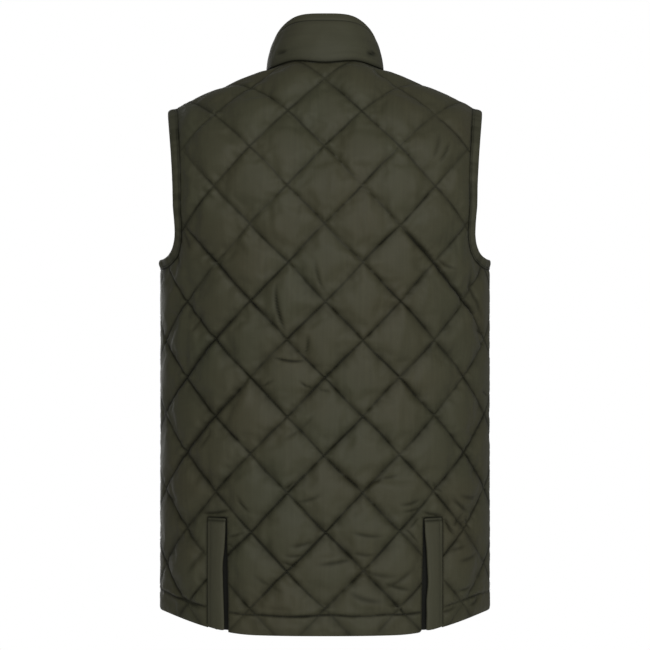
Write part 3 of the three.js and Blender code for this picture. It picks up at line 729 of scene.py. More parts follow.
def is_up(points, face):
    a, b, c = (points[k] for k in face[:3])
    return (b[0] - a[0]) * (c[1] - a[1]) - (b[1] - a[1]) * (c[0] - a[0]) > 0


def simulate(piece):
    """Pressure and a slight growth puff the cloth between its pinned stitches."""
    make_active(piece)
    cloth = piece.modifiers.new("cloth", "CLOTH")
    settings = cloth.settings
    settings.quality = 5
    settings.mass = 0.02
    settings.tension_stiffness = settings.compression_stiffness = 12
    settings.shear_stiffness = 4
    settings.bending_stiffness = 0.02
    settings.vertex_group_mass = "stitched"
    settings.shrink_min = -0.035
    settings.use_pressure = True
    settings.uniform_pressure_force = 4
    settings.effector_weights.gravity = 0
    cloth.collision_settings.use_collision = False
    cloth.collision_settings.use_self_collision = False
    cloth.point_cache.frame_start, cloth.point_cache.frame_end = 1, SIMULATED_FRAMES
    for number in range(1, SIMULATED_FRAMES + 1):
        bpy.context.scene.frame_set(number)
    bpy.ops.object.modifier_apply(modifier=cloth.name)
    bpy.context.scene.frame_set(1)


# %% [markdown]
# ## Creases of wear
# The photo shows a few creases that no machine made: short ones that cross a diamond, and long soft folds down the
# sides. Each has its own place, size and turn. They are troughs, or ridges where the depth is below zero, that fade
# out at their ends; the sharp troughs are darkened with painted shade. The fronts aren't seen, so theirs are alike in
# kind and differ in place.

# %% Table of creases
# mm from the centre line and below the shoulder level, and degrees anticlockwise as seen from outside
CREASE_COLUMNS = ("x", "z", "length", "width", "depth", "turn")
CREASES = {
    "back": [
        (59, -319, 66, 2.6, 2.6, -78),
        (9, -278, 42, 2.4, 1.6, -72),
        (22, -365, 28, 2.2, 1.8, 82),
        (44, -384, 46, 2.0, 2.6, -4),
        (23, -416, 22, 2.0, 2.0, -30),
        (3, -422, 20, 2.2, 1.4, -14),
        (45, -424, 40, 5.0, 1.2, -3),
        (172, -332, 214, 7.0, 1.9, 89),
        (148, -538, 110, 6.0, 1.5, 84),
        (-10, -160, 60, 5.0, -1.5, 88),
        (-52, -222, 56, 4.0, -1.5, 94),
        (-82, -184, 50, 4.5, -1.4, 86),
        (-112, -176, 56, 5.0, -1.3, 84),
        (-96, -342, 80, 6.0, -1.7, 86),
        (-124, -300, 54, 5.0, -1.3, 80),
        (-36, -262, 40, 4.0, -1.1, 98),
        (60, -210, 60, 5.0, -1.2, 96),
        (28, -196, 40, 4.0, -1.0, 82),
        (96, -420, 70, 6.0, -1.4, 80),
        (104, -330, 50, 5.0, -1.2, 100),
        (-90, -460, 70, 6.0, -1.4, 84),
        (-20, -500, 60, 6.0, -1.2, 92),
        (50, -530, 60, 6.0, -1.1, 78),
        (139, -579, 52, 2.6, 2.2, 7),
        (-136, -581, 36, 2.4, 2.0, -12),
        (-157, -597, 30, 2.6, 2.4, -56),
        (-168, -590, 22, 2.4, 1.8, 50),
        (103, -568, 28, 2.4, 1.8, -52),
        (-108, -566, 30, 3.0, 1.6, 12),
        (-14, -640, 50, 3.4, 1.6, 8),
        (-52, -606, 40, 3.0, 1.5, -6),
        (28, -616, 34, 3.0, 1.5, 14),
        (-150, -120, 30, 2.6, 1.4, 60),
        (-140, -112, 34, 3.0, 1.2, 74),
        (-152, -262, 30, 2.4, 1.6, -24),
        (-188, -300, 70, 4.0, 1.6, -66),
        (-182, -452, 90, 5.0, 1.3, -80),
        (190, -250, 44, 3.0, 1.8, -50),
        (176, -226, 40, 3.0, 1.4, -64),
        (112, -606, 26, 2.2, 1.6, 22),
        (116, -622, 22, 2.2, 1.4, -38),
        (-112, -592, 26, 2.4, 1.6, 44),
        (-108, -606, 30, 2.2, 1.8, -50),
        (-170, -572, 34, 3.0, 1.8, -36),
        (-180, -640, 40, 3.4, 1.4, 12),
        (-60, -654, 60, 4.0, 1.3, -16),
        (-92, -664, 50, 3.4, 1.3, 34),
        (70, -668, 44, 3.4, 1.3, -30),
        (20, -560, 36, 3.0, 1.3, 20),
        (160, -640, 44, 4.0, 1.4, 60),
        (30, -470, 50, 3.0, 1.0, 40),
        (-199, -348, 24, 2.2, 2.0, -10),
        (-201, -363, 23, 2.2, 1.6, -17),
        (-188, -288, 20, 2.2, 1.5, 21),
        (-206, -428, 24, 2.4, 1.6, -22),
        (43, -542, 26, 2.2, 2.0, 34),
        (52, -553, 26, 2.2, 1.5, 56),
        (44, -641, 26, 2.2, 1.8, -16),
        (36, -630, 30, 2.6, 1.5, 7),
        (173, -696, 50, 3.6, 2.0, -20),
        (-64, -538, 23, 2.2, 2.0, 20),
        (-81, -532, 26, 2.4, 1.5, 8),
        (-142, -548, 22, 2.2, 1.8, -41),
        (-181, -562, 35, 3.4, 1.4, -6),
        (-111, -575, 29, 2.4, 1.8, 11),
        (-180, -597, 28, 2.2, 2.0, -62),
        (-166, -626, 30, 3.0, 1.4, 7),
        (-47, -630, 34, 3.0, 1.3, -6),
        (-49, -650, 18, 2.2, 1.8, -14),
        (-90, -673, 40, 3.2, 1.6, -16),
        (-51, -685, 48, 4.2, 1.4, -18),
        (-90, -695, 21, 2.2, 1.8, 0),
        (-176, -680, 23, 2.4, 1.6, 10),
        (-192, -699, 28, 3.0, 1.8, 23),
        (-157, -705, 32, 3.0, 1.5, 13),
        (148, -485, 33, 2.6, 1.4, 62),
        (73, -415, 24, 2.2, 1.5, 29),
        (161, -338, 27, 2.4, 1.6, 56),
        (-153, -341, 23, 2.4, 1.4, 38),
    ],
    "front": [
        (96, -330, 60, 2.8, 2.2, 64),
        (60, -420, 48, 2.4, 2.0, 8),
        (84, -436, 30, 2.2, 1.6, -34),
        (-70, -300, 56, 2.6, 2.0, -70),
        (-58, -388, 40, 2.2, 1.8, 12),
        (172, -340, 190, 7.0, 1.8, 90),
        (-172, -350, 200, 7.0, 1.8, 90),
        (-148, -560, 110, 6.0, 1.5, 96),
        (146, -580, 90, 6.0, 1.4, 86),
        (40, -200, 64, 6.0, -1.0, 86),
        (-44, -210, 70, 6.0, -1.0, 92),
        (110, -180, 60, 5.0, -1.0, 96),
        (-116, -190, 60, 6.0, -0.9, 84),
        (-90, -480, 70, 6.0, -1.0, 80),
        (186, -262, 44, 3.0, 1.6, -52),
        (-184, -258, 40, 3.0, 1.6, 50),
        (60, -650, 50, 3.4, 1.3, 24),
        (-64, -656, 56, 3.4, 1.3, -18),
        (-30, -560, 36, 3.0, 1.2, 28),
    ],
}
print(sum(len(rows) for rows in CREASES.values()), "creases are placed by hand")

# %% Table of deep seams
# the line's set and number, where it starts and ends along the other set, and how strong the fold is
DEEP_SEAMS = {
    "back": [
        ("u", 1, -2.7, -5.9, 1.0),
        ("u", 4, 0.1, -3.1, 0.6),
        ("v", -2, 3.9, 6.9, 0.75),
        ("v", -3, 4.9, 7.9, 0.9),
        ("u", 5, -4.9, -7.2, 0.6),
        ("u", 3, -4.8, -6.3, 0.6),
        ("u", 2, -0.9, -4.1, 0.4),
        ("v", -6, 3.9, 5.2, 0.6),
        ("v", -4, 3.0, 5.1, 0.3),
    ],
    "front": [
        ("u", 3, -1.9, -4.6, 0.8),
        ("v", -3, 1.9, 4.4, 0.6),
        ("u", 5, -2.2, -4.0, 0.6),
        ("v", -5, 4.0, 6.2, 0.7),
    ],
}


# %% Relief of seams and creases
def on_crease(right, up, length, turn):
    """Where a point is along and across a crease, by its place from the crease's middle, and how strong it is there."""
    turn = math.radians(turn)
    along = right * math.cos(turn) + up * math.sin(turn)
    across = up * math.cos(turn) - right * math.sin(turn)
    return along, across, smooth(1.25 - np.abs(2 * along / length))


def deep_seams(side, s, t):
    """How much lower the cloth lies along each deep seam, and how much painted shade darkens it there."""
    relief, dark = np.zeros(len(s)), np.zeros(len(s))
    u, v = to_lattice(s, t)
    for kind, number, start, end, strength in DEEP_SEAMS[side]:
        across, along = (u, v) if kind == "u" else (v, u)
        away = (across - number) * DIAMOND_SIDE
        share = (along - start) / (end - start)
        fade = strength * smooth(4 * share) * smooth(4 * (1 - share))
        relief += fade * (1.5 * bell(away, 3) - 1.8 * bell(away - 10, 6))
        # The trough of a deep seam gets painted shade.
        dark = np.maximum(dark, fade * (0.5 * bell(away, 2.4) + 0.5 * bell(away, 4.2)))
    return relief, dark


def creases(side, s, t):
    """How much lower the cloth lies in each crease, and how much painted shade darkens the sharp ones."""
    relief, dark = deep_seams(side, s, t)
    for values in CREASES[side]:
        row = dict(zip(CREASE_COLUMNS, values))
        at_s, at_t = flatten(side, abs(row["x"]), row["z"])
        at_s = math.copysign(float(at_s), row["x"])
        right, up = (s - at_s) * -FACING[side], -(t - float(at_t))
        along, across, fade = on_crease(right, up, row["length"], row["turn"])
        across = across - 0.06 * row["length"] * (2 * along / row["length"]) ** 2
        relief += row["depth"] * bell(across, row["width"]) * fade
        sharp = 0.36 * row["depth"] * (0 < row["depth"] and row["width"] < 4.5)
        # Sharp troughs get painted shade.
        dark = np.maximum(dark, sharp * fade * bell(across, 0.8 * row["width"]))
    return relief, dark


print(sum(len(rows) for rows in DEEP_SEAMS.values()), "stretches of seam lie deeper than the rest")

# %% [markdown]
# ## Closing the shell
# The outer cloth is subdivided once, with a crease on every stitched edge, so that the puffs are round and the seams
# stay sharp. Then the plain lining is laid behind it on the same outline, the two are joined round the edge, and all
# of it is bent to the form.


# %% Edges and faces of a flat mesh
def subdivide_outer(piece, on_seam):
    make_active(piece)
    bpy.ops.object.mode_set(mode="EDIT")
    bpy.ops.mesh.select_mode(type="EDGE")
    bpy.ops.mesh.select_all(action="DESELECT")
    bpy.ops.object.mode_set(mode="OBJECT")
    piece.data.edges.foreach_set("select", on_seam(values_of(piece.data.edges, "vertices", 2)))
    bpy.ops.object.mode_set(mode="EDIT")
    bpy.ops.transform.edge_crease(value=SEAM_CREASE)
    bpy.ops.object.mode_set(mode="OBJECT")
    finer = piece.modifiers.new("finer", "SUBSURF")
    finer.levels = finer.render_levels = 1
    finer.boundary_smooth = "PRESERVE_CORNERS"
    bpy.ops.object.modifier_apply(modifier=finer.name)


def boundary_loop(piece):
    """The vertices round the edge of a flat mesh, in order."""
    mesh = piece.data
    uses = np.bincount(values_of(mesh.loops, "edge_index"), minlength=len(mesh.edges))
    after = {}
    for a, b in values_of(mesh.edges, "vertices", 2)[uses == 1].tolist():
        after.setdefault(a, []).append(b)
        after.setdefault(b, []).append(a)
    first = min(after)
    order, here = [first], after[first][0]
    while here != first:
        order.append(here)
        here = next(k for k in after[here] if k != order[-2])
    return order


def face_list(mesh):
    """The corners of each face."""
    ends = np.cumsum(values_of(mesh.polygons, "loop_total"))[:-1]
    return [part.tolist() for part in np.split(values_of(mesh.loops, "vertex_index"), ends)]


# %% Heights and shading of worn cloth
HIGH_END, LOW_START = 150, 370  # mm below the shoulder level: the lower back's seams get more painted shade
SEAM_DARKNESS = (0.44, 0.55)  # painted shade of a stitched line, high and low
VALLEY_DARKNESS = (0.1, 0.27)  # painted shade of the cloth beside it, high and low


def worn_height(side, s, t, height, from_edge):
    """The puffed height after wear: puckered, calm at sides and shoulders, gathered at the hem, and creased."""
    above_stitches = hem_level(side, s) - t - HEM_WIDTH
    height = height + seam_pucker(side, s, t) * smooth(from_edge / 8) * (above_stitches > 2)
    from_side = side_seam(side, -t) - np.abs(s)
    height = mix(np.minimum(height, STITCHED), height, mix(SIDE_PUFF, 1, smooth(from_side / SIDE_FADE)))
    shoulder = resample(upper_runs(side)[1], 6)
    from_shoulder = distance_to(shoulder, np.stack([np.abs(s), t], axis=1), closed=False)
    even = STITCHED + 1.8 * smooth((from_edge - 1) / 16) + SHOULDER_PUFF * (height - STITCHED)
    height = mix(even, height, smooth(from_shoulder / SHOULDER_FADE))
    height = height - bell(above_stitches, 2.2) * smooth(from_edge / 4)
    gathered = ripple(s, 12, 61) * 0.8 + ripple(s, 27, 62) * 0.7
    height = height + gathered * bell(above_stitches - 3, 9) * smooth(from_edge / 6)
    return np.maximum(THINNEST, height - creases(side, s, t)[0])


def seam_shading(side, s, t, from_edge):
    """Painted shade, from 0 (none) to 1: on and beside the stitches, in sharp creases, at edges and on the hem."""
    u, v = to_lattice(s, t)
    near_u = off_line(u) < off_line(v)
    run = np.where(near_u, v, u) * DIAMOND_SIDE
    run = run + RUN_APART * np.where(near_u, np.round(u), np.round(v)) + 300 * near_u
    above_hem = hem_level(side, s) - t
    low = smooth((t - HIGH_END) / (LOW_START - HIGH_END))
    # pull is the painted shade on a stitched line, and wide is the painted shade of the valley beside it.
    pull = mix(*SEAM_DARKNESS, low) + 0.26 * ripple(run, 150, 51) + 0.16 * ripple(run, 22, 52)
    pull *= mix(0.5, 1, smooth((above_hem - HEM_WIDTH) / 8))
    wide = mix(*VALLEY_DARKNESS, low) * (1 + 0.6 * ripple(run + 500, 46, 53) + 0.5 * ripple(run + 900, 15, 55))
    away = stitched_distance(side, s, t)
    shade = pull * bell(away, 1.7) + wide * bell(away, 7)
    shade = np.clip(np.maximum(shade, creases(side, s, t)[1]), 0, 1)
    # Painted shade also darkens the cloth at its edges and along the hem's stitch line.
    shade = np.maximum(shade, 0.8 * bell(from_edge, 1.8) * (above_hem > 3))
    return np.maximum(shade, (0.62 + 0.38 * ripple(s, 70, 54)) * bell(above_hem - HEM_WIDTH, 1.9))


# %% Closed shell of a quilted panel
def plain_lining(edge_line):
    """Points and faces of a plain cloth that fills an edge."""
    grid = lattice_points(edge_line, LINING_CELLS)
    grid = grid[inside(edge_line, grid) & (distance_to(edge_line, grid) > 5)]
    points, faces = triangulate(np.concatenate([edge_line, grid]), [], len(edge_line), 1e-5)
    return points, [face if is_up(points, face) else face[::-1] for face in faces]


def quilted_panel(name):
    side = PATTERN[name][0]
    made, faces, loop = FLAT_MESHES[name]
    piece = puffed(name + "_quilted", side, made, faces, loop)

    def on_seam(ends):
        middle = made[ends].mean(1)
        lines = stitched_distance(side, middle[:, 0], middle[:, 1]) < ON_LINE
        hem = np.abs(hem_level(side, middle[:, 0]) - HEM_WIDTH - middle[:, 1]) < 0.4
        return (lines & (stitched_distance(side, *made[ends[:, 0]].T) < ON_LINE)) | hem

    subdivide_outer(piece, on_seam)
    outer = coordinates(piece) / MM
    outer_flat = np.stack([outer[:, 0], -outer[:, 1]], axis=1)
    edge = boundary_loop(piece)
    edge_line = outer_flat[edge]
    from_edge = distance_to(edge_line, outer_flat)
    height = worn_height(side, outer_flat[:, 0], outer_flat[:, 1], outer[:, 2], from_edge)

    # The rim has one row of points halfway down, which bulges a little at the hem. The lining follows it.
    count, rim = len(outer), len(edge)
    bulge = 0.9 * smooth(1 - (hem_level(side, edge_line[:, 0]) - edge_line[:, 1]) / 2)
    lining, lining_faces = plain_lining(edge_line)
    flat = np.concatenate([outer_flat, edge_line + bulge[:, None] * [0, 1], lining])
    heights = np.concatenate([height, height[edge] * 0.5, np.zeros(len(lining))])
    s, t = flat[:, 0], flat[:, 1]
    at_edge = distance_to(edge_line, flat)
    points = over(side, *wander(s, t, at_edge), heights) * MM
    rim_faces = []
    for i in range(rim):
        j = (i + 1) % rim
        rim_faces.append([edge[i], edge[j], count + j, count + i])
        rim_faces.append([count + i, count + j, count + rim + j, count + rim + i])
    outside = face_list(piece.data) + rim_faces
    mesh = bpy.data.meshes.new(name + "_quilted")
    mesh.from_pydata(points.tolist(), [], outside + [[count + rim + k for k in face] for face in lining_faces])
    slots = np.zeros(len(mesh.polygons), int)
    slots[len(outside) :] = 1
    mesh.polygons.foreach_set("material_index", slots)
    corners = values_of(mesh.loops, "vertex_index")
    flat_map = mesh.uv_layers.new(name="pattern")
    flat_map.data.foreach_set("uv", (np.stack([s, -t], axis=1) * MM)[corners].ravel())
    # The seam_shade attribute carries painted shade into the outer cloth's colour; the lining gets none.
    shade = seam_shading(side, s, t, at_edge)
    shade[count + rim :] = 0
    mesh.attributes.new("seam_shade", "FLOAT", "POINT").data.foreach_set("value", shade.astype(np.float32))
    old = piece.data
    piece.data = mesh
    bpy.data.meshes.remove(old)
    make_active(piece)
    edit_all(OUTWARDS)
    bpy.ops.object.shade_smooth_by_angle(angle=math.radians(70))
    print(piece.name, "has", triangles_of(piece), "triangles")
    return piece


quilted = {name: quilted_panel(name) for name in PATTERN}

# %% [markdown]
# ## Woven polyester
# The outer cloth is a tightly woven polyester with a slight satin gloss and faint slubs that run up and down. Painted
# shade darkens its colour and lowers its gloss on and beside the stitches, in sharp creases, at its edges and on the
# hem. The real threads are about a tenth of a millimetre and wouldn't show, so the weave is drawn with threads of
# 0.9 mm. It follows the flat pattern through the piece's own UV map, as real cloth does.

# %% Cloth material
THREAD = 0.0009
SLUB = 0.004


# The first colour is painted shade, which the seam_shade attribute mixes into the cloth's own two tones.
def woven_polyester(name, colour, shade, roughness, weave_height, sheen):
    material, tree, cloth = new_material(name)
    place_on = add_node(tree, "ShaderNodeUVMap", uv_map="pattern").outputs["UV"]
    blotch = add_node(tree, "ShaderNodeTexNoise", {"Vector": place_on}, Scale=7.0, Detail=3.0, Roughness=0.6)
    stretched = add_node(tree, "ShaderNodeMapping", {"Vector": place_on}, Scale=(1 / SLUB, 9.0, 1.0))
    slubs = add_node(tree, "ShaderNodeTexNoise", {"Vector": stretched.outputs[0]}, Scale=1.0, Detail=2.0)
    tones = add_node(tree, "ShaderNodeMix", {"Factor": blotch.outputs["Fac"]}, data_type="RGBA")
    tones.inputs[6].default_value, tones.inputs[7].default_value = srgb(shade[0]), srgb(shade[1])
    # Painted shade, read from the seam_shade attribute, darkens the colour and lowers the gloss.
    painted_shade = add_node(tree, "ShaderNodeAttribute", attribute_name="seam_shade")
    darker = add_node(tree, "ShaderNodeMath", {0: painted_shade.outputs["Fac"]}, operation="MULTIPLY")
    darker.inputs[1].default_value = 0.95
    seam_shaded_colour = add_node(tree, "ShaderNodeMix", {"Factor": darker.outputs[0], 6: tones.outputs[2]}, data_type="RGBA")
    seam_shaded_colour.inputs[7].default_value = srgb(colour)
    streak = add_node(tree, "ShaderNodeMapRange", {0: slubs.outputs["Fac"]}, To_Min=0.86, To_Max=1.14)
    gloss = add_node(tree, "ShaderNodeMapRange", {0: darker.outputs[0]}, To_Min=0.34, To_Max=0.04)
    tree.links.new(gloss.outputs[0], cloth.inputs["Specular IOR Level"])
    shaded_slubbed_colour = add_node(tree, "ShaderNodeVectorMath", {0: seam_shaded_colour.outputs[2]}, operation="SCALE")
    tree.links.new(streak.outputs[0], shaded_slubbed_colour.inputs["Scale"])
    tree.links.new(shaded_slubbed_colour.outputs[0], cloth.inputs["Base Color"])
    threads = add_node(tree, "ShaderNodeMapping", {"Vector": place_on}, Scale=(1 / THREAD, 1 / THREAD, 1.0))
    waves = [
        add_node(tree, "ShaderNodeTexWave", {"Vector": threads.outputs[0]}, bands_direction=way, Scale=0.314)
        for way in ("X", "Y")
    ]
    weave = add_node(tree, "ShaderNodeMath", {k: w.outputs["Fac"] for k, w in enumerate(waves)}, operation="MULTIPLY")
    relief = add_node(tree, "ShaderNodeMath", {0: weave.outputs[0], 1: slubs.outputs["Fac"]}, operation="ADD")
    bump = add_node(tree, "ShaderNodeBump", {"Height": relief.outputs[0]}, Strength=0.5, Distance=weave_height)
    tree.links.new(bump.outputs[0], cloth.inputs["Normal"])
    cloth.inputs["Specular IOR Level"].default_value = 0.34
    cloth.inputs["Roughness"].default_value = roughness
    cloth.inputs["Sheen Weight"].default_value = sheen
    cloth.inputs["Sheen Roughness"].default_value = 0.45
    return material


outer_cloth = woven_polyester("woven_polyester_outer", "#12120a", ("#45402c", "#3f4230"), 0.64, 0.00008, 0.04)
lining_cloth = woven_polyester("woven_polyester_lining", "#22231b", ("#2f3024", "#2c2d23"), 0.6, 0.00005, 0.05)
# The gusset cloth is painted near-black: painted shade for the deep slit, where little light reaches.
gusset_cloth_painted_shade = woven_polyester("woven_polyester_gusset_painted_shade", "#0c0d09", ("#15160f", "#13140f"), 0.8, 0.00005, 0.0)
plain_cloth = woven_polyester("woven_polyester_plain", "#16170f", ("#444131", "#424432"), 0.68, 0.00006, 0.04)
tape_cloth = woven_polyester("woven_zip_tape", "#1c1d17", ("#2c2d25", "#2f3027"), 0.8, 0.00016, 0.05)
print("a woven finish has", len(outer_cloth.node_tree.nodes), "nodes")

# %% [markdown]
# ## Plastic, metal and thread
# The teeth are moulded acetal: smooth, with a soft gloss and a slightly uneven skin. The slider and its tab are
# die-cast zinc with a dark finish that has worn a little lighter in places. The thread is spun polyester, a shade
# darker than the cloth, with a twist that gives it a fine ridge.


# %% Small materials
def hard_finish(name, colours, metallic, roughness, grain, relief):
    """Two tones mixed by a fine noise, whose size is the grain in metres, with a slight relief."""
    material, tree, surface = new_material(name)
    spot = add_node(tree, "ShaderNodeTexCoord").outputs["Object"]
    noise = add_node(tree, "ShaderNodeTexNoise", {"Vector": spot}, Scale=1 / grain, Detail=3.0)
    tones = add_node(tree, "ShaderNodeMix", {"Factor": noise.outputs["Fac"]}, data_type="RGBA")
    tones.inputs[6].default_value, tones.inputs[7].default_value = srgb(colours[0]), srgb(colours[1])
    tree.links.new(tones.outputs[2], surface.inputs["Base Color"])
    gloss = add_node(tree, "ShaderNodeMapRange", {0: noise.outputs["Fac"]}, To_Min=roughness - 0.08)
    gloss.inputs["To Max"].default_value = roughness + 0.08
    tree.links.new(gloss.outputs[0], surface.inputs["Roughness"])
    bump = add_node(tree, "ShaderNodeBump", {"Height": noise.outputs["Fac"]}, Strength=0.4, Distance=relief)
    tree.links.new(bump.outputs[0], surface.inputs["Normal"])
    surface.inputs["Metallic"].default_value = metallic
    return material


moulded_teeth = hard_finish("moulded_acetal", ("#24251e", "#2b2c25"), 0.0, 0.42, 0.0012, 0.00003)
die_cast_metal = hard_finish("die_cast_zinc", ("#3a3934", "#55534b"), 1.0, 0.36, 0.0015, 0.00003)
sewing_thread = hard_finish("spun_polyester_thread", ("#26271d", "#302f24"), 0.0, 0.75, 0.0005, 0.00005)
print("a hard finish has", len(moulded_teeth.node_tree.nodes), "nodes")

# %% Dress the quilted panels
for name, piece in quilted.items():
    piece.data.materials.append(outer_cloth)
    piece.data.materials.append(lining_cloth)
    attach(piece, "garment")
    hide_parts(name)
print("quilted panels wear", outer_cloth.name, "and", lining_cloth.name)

# %% [markdown]
# ## Strips folded round an edge
# The collar, the armhole bindings and the vent bands are plain cloth folded over, and a tape is a flat strip. Each is
# modelled as a maker folds it: a grid of cloth is wrapped round the section, ring by ring, and its long edges are
# merged. The ends are filled, and a subdivision rounds the folds. Its UV map keeps the flat cloth's lengths.


# %% Folding a strip
def folded_strip(name, rings, joined=False, levels=1, shade=None):
    """Wraps a grid through rings of points, given in mm. A joined strip closes on itself.

    The shade says how much painted shade darkens the cloth at each point of each ring.
    """
    around = np.concatenate([rings, rings[:, :1]], axis=1)
    if joined:
        around = np.concatenate([around, around[:1]])
    rows, columns = around.shape[:2]
    deselect_all()
    bpy.ops.mesh.primitive_grid_add(x_subdivisions=columns - 1, y_subdivisions=rows - 1, size=1)
    piece = bpy.context.object
    piece.name = name
    set_coordinates(piece, around.reshape(-1, 3) * MM)
    width = np.linalg.norm(np.diff(around, axis=1), axis=2).mean(0)
    length = np.linalg.norm(np.diff(around, axis=0), axis=2).mean(1)
    u, v = np.meshgrid(running_total(width), running_total(length))
    corners = values_of(piece.data.loops, "vertex_index")
    piece.data.uv_layers[0].name = "pattern"
    piece.data.uv_layers[0].data.foreach_set("uv", (np.stack([u.ravel(), v.ravel()], 1) * MM)[corners].ravel())
    darker = np.broadcast_to(0.0 if shade is None else shade, rings.shape[:2])
    darker = np.concatenate([darker, darker[:, :1]], axis=1)
    darker = np.concatenate([darker, darker[:1]]) if joined else darker
    seam_shade = piece.data.attributes.new("seam_shade", "FLOAT", "POINT")
    seam_shade.data.foreach_set("value", darker.ravel().astype(np.float32))
    ends = [] if joined else [(bpy.ops.mesh.fill_holes, {"sides": 0})]
    edit_all((bpy.ops.mesh.remove_doubles, {"threshold": 1e-6}), *ends, OUTWARDS)
    if levels:
        rounder = piece.modifiers.new("rounder", "SUBSURF")
        rounder.levels = rounder.render_levels = levels
        bpy.ops.object.modifier_apply(modifier=rounder.name)
    bpy.ops.object.shade_smooth_by_angle(angle=math.radians(60))
    print(name, "has", triangles_of(piece), "triangles")
    return piece


def dress(piece, node, material, body="garment"):
    piece.data.materials.append(material)
    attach(piece, body)
    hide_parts(node)


# %% [markdown]
# ## The collar
# A stand collar is two layers of plain cloth with a stiffening between them, sewn to the neck and stitched again below
# its top edge. It stands on the neck seam and leans in as it rises. Its section is a table: how high a point is, and
# how far out from the inner face. The groove of the top stitching and the creases at its lower corners are in it too,
# and painted shade darkens them and the collar's foot at the neck seam.

# %% Shape of the collar
COLLAR_TOP = {"back": 67, "side": 42, "front": -16, "curve": 1.7}
COLLAR_THICK = 4.6
COLLAR_STITCH = 10  # below the top edge
ZIP_STRAIGHT = 24


def neck_line(angle):
    """Points of the neck seam on the form, and the form's outward direction there."""
    points, normals = [], []
    for side in ("back", "front"):
        s, t = neck_point(angle, side)
        points.append(place(side, s, t))
        normals.append(outward(side, s, t))
    on_back = (np.abs(angle) <= np.pi / 2)[..., None]
    return np.where(on_back, *points), np.where(on_back, *normals)


def neck_facing(angle):
    before = neck_line(np.maximum(-np.pi, angle - 0.01))[0]
    after = neck_line(np.minimum(np.pi, angle + 0.01))[0]
    turned = smooth(np.abs(after[..., 0]) / ZIP_STRAIGHT)
    x, y = (before[..., 1] - after[..., 1]) * turned, after[..., 0] - before[..., 0]
    return np.stack([x, y, 0 * x], axis=-1) / np.hypot(x, y)[..., None]


def collar_height(angle):
    base = neck_line(angle)[0]
    on_back = mix(COLLAR_TOP["back"], COLLAR_TOP["side"], (1 - np.cos(angle)).clip(0) ** COLLAR_TOP["curve"])
    on_front = mix(COLLAR_TOP["side"], COLLAR_TOP["front"], np.abs(angle) / (np.pi / 2) - 1)
    return np.where(np.abs(angle) < np.pi / 2, on_back, on_front) - base[..., 2]


def collar_point(angle, height, out):
    angle, height, out = (np.asarray(value, float) for value in np.broadcast_arrays(angle, height, out))
    base, normal = neck_line(angle)
    lean = 0.035 * height + 0.0048 * height**2
    standing = base + neck_facing(angle) * (out - lean)[..., None]
    standing[..., 2] += height
    sewn = base + normal * out[..., None]
    sewn[..., 2] += SEAM_GAP
    return np.where((height <= 0)[..., None], sewn, standing)


# %% Creases of the collar
COLLAR_END = math.pi - math.asin(ZIP_EDGE / NECK_HALF_WIDTH)
COLLAR_CREASES = [  # where round the neck in mm from the centre back, height, length, width, depth and turn
    (62, 18, 20, 2.6, 1.8, -8),
    (-69, 18, 24, 2.6, 2.4, 14),
    (-74, 28, 30, 5.0, 1.0, -64),
    (78, 34, 40, 6.0, 0.9, 70),
    (38, 24, 60, 7.0, 0.8, 28),
    (-20, 40, 60, 8.0, 0.8, -32),
    (8, 30, 44, 7.0, -0.6, 70),
    (-34, 16, 70, 3.4, 0.8, -3),
    (120, 16, 30, 5.0, 0.7, 50),
    (-128, 18, 30, 5.0, 0.7, -52),
]


def collar_relief(around, height, top):
    """How far the collar's outer face is pushed out at a point, and how much painted shade darkens its sharp creases.
    """
    stitch = top - COLLAR_STITCH
    groove = -1.3 * bell(height - stitch, 1.1)
    rolled = 0.35 * bell(height - stitch + 5, 3.2)
    relief, dark = groove + rolled, 0 * around
    for x, z, length, width, depth, turn in COLLAR_CREASES:
        _, across, fade = on_crease(x - around, height - z, length, turn)
        relief = relief - depth * bell(across, width) * fade
        dark = np.maximum(dark, 0.4 * depth * (width < 3) * fade * bell(across, width))
    pucker = ripple(around, 9, 5) * 0.16 + ripple(around, 17, 6) * 0.12
    near = bell(height - stitch, 7) + bell(height, 9)
    return relief + pucker * near, dark


# %% Build the collar
angles = np.linspace(-COLLAR_END, COLLAR_END, 181)
tops = collar_height(angles)
neck_run = np.linalg.norm(np.diff(neck_line(angles)[0], axis=0), axis=1)
round_neck = running_total(neck_run) - neck_run.sum() / 2
rings, darks = [], []
outer_heights = [
    share * (tops - COLLAR_STITCH - 2.4)
    for share in (0, 0.03, 0.09, 0.15, 0.21, 0.27, 0.33, 0.39, 0.47, 0.56, 0.65, 0.74, 0.83, 0.9, 0.96)
]
outer_heights += [tops - below for below in (12.0, 11.2, 10.6, 10.0, 9.4, 8.8, 7.6, 5.6, 3.4, 1.4)]
for height in outer_heights:
    relief, dark = collar_relief(round_neck, height, tops)
    rings.append(collar_point(angles, height, COLLAR_THICK + relief * (height > 0)))
    darks.append(dark)
for below, share in ((0.3, 0.86), (0, 0.5), (0.3, 0.14), (1.4, 0)):
    rings.append(collar_point(angles, tops - below, COLLAR_THICK * share))
for below in (4, 7.5, 10.0, 12.5):
    rings.append(collar_point(angles, tops - below, 0.6 * (below == 10.0)))
for share in (0.85, 0.7, 0.55, 0.4, 0.26, 0.13, 0.04):
    rings.append(collar_point(angles, share * (tops - COLLAR_STITCH), 0))
rings.append(collar_point(angles, 0 * tops, 0))
# Painted shade darkens the collar's foot at the neck seam, its top stitching's groove and its sharp creases.
shade = np.zeros((len(angles), len(rings)))
shade[:, : len(darks)] = np.stack(darks, axis=1)
stitched = 0.7 + 0.25 * ripple(round_neck, 60, 7)
for column, amount in ((0, 1), (1, 0.8), (2, 0.25), (17, 0.3 * stitched), (18, stitched), (19, 0.3 * stitched)):
    shade[:, column] = np.maximum(shade[:, column], amount)
collar = folded_strip("collar_cloth", np.stack(rings, axis=1), shade=shade)
dress(collar, "collar", plain_cloth)
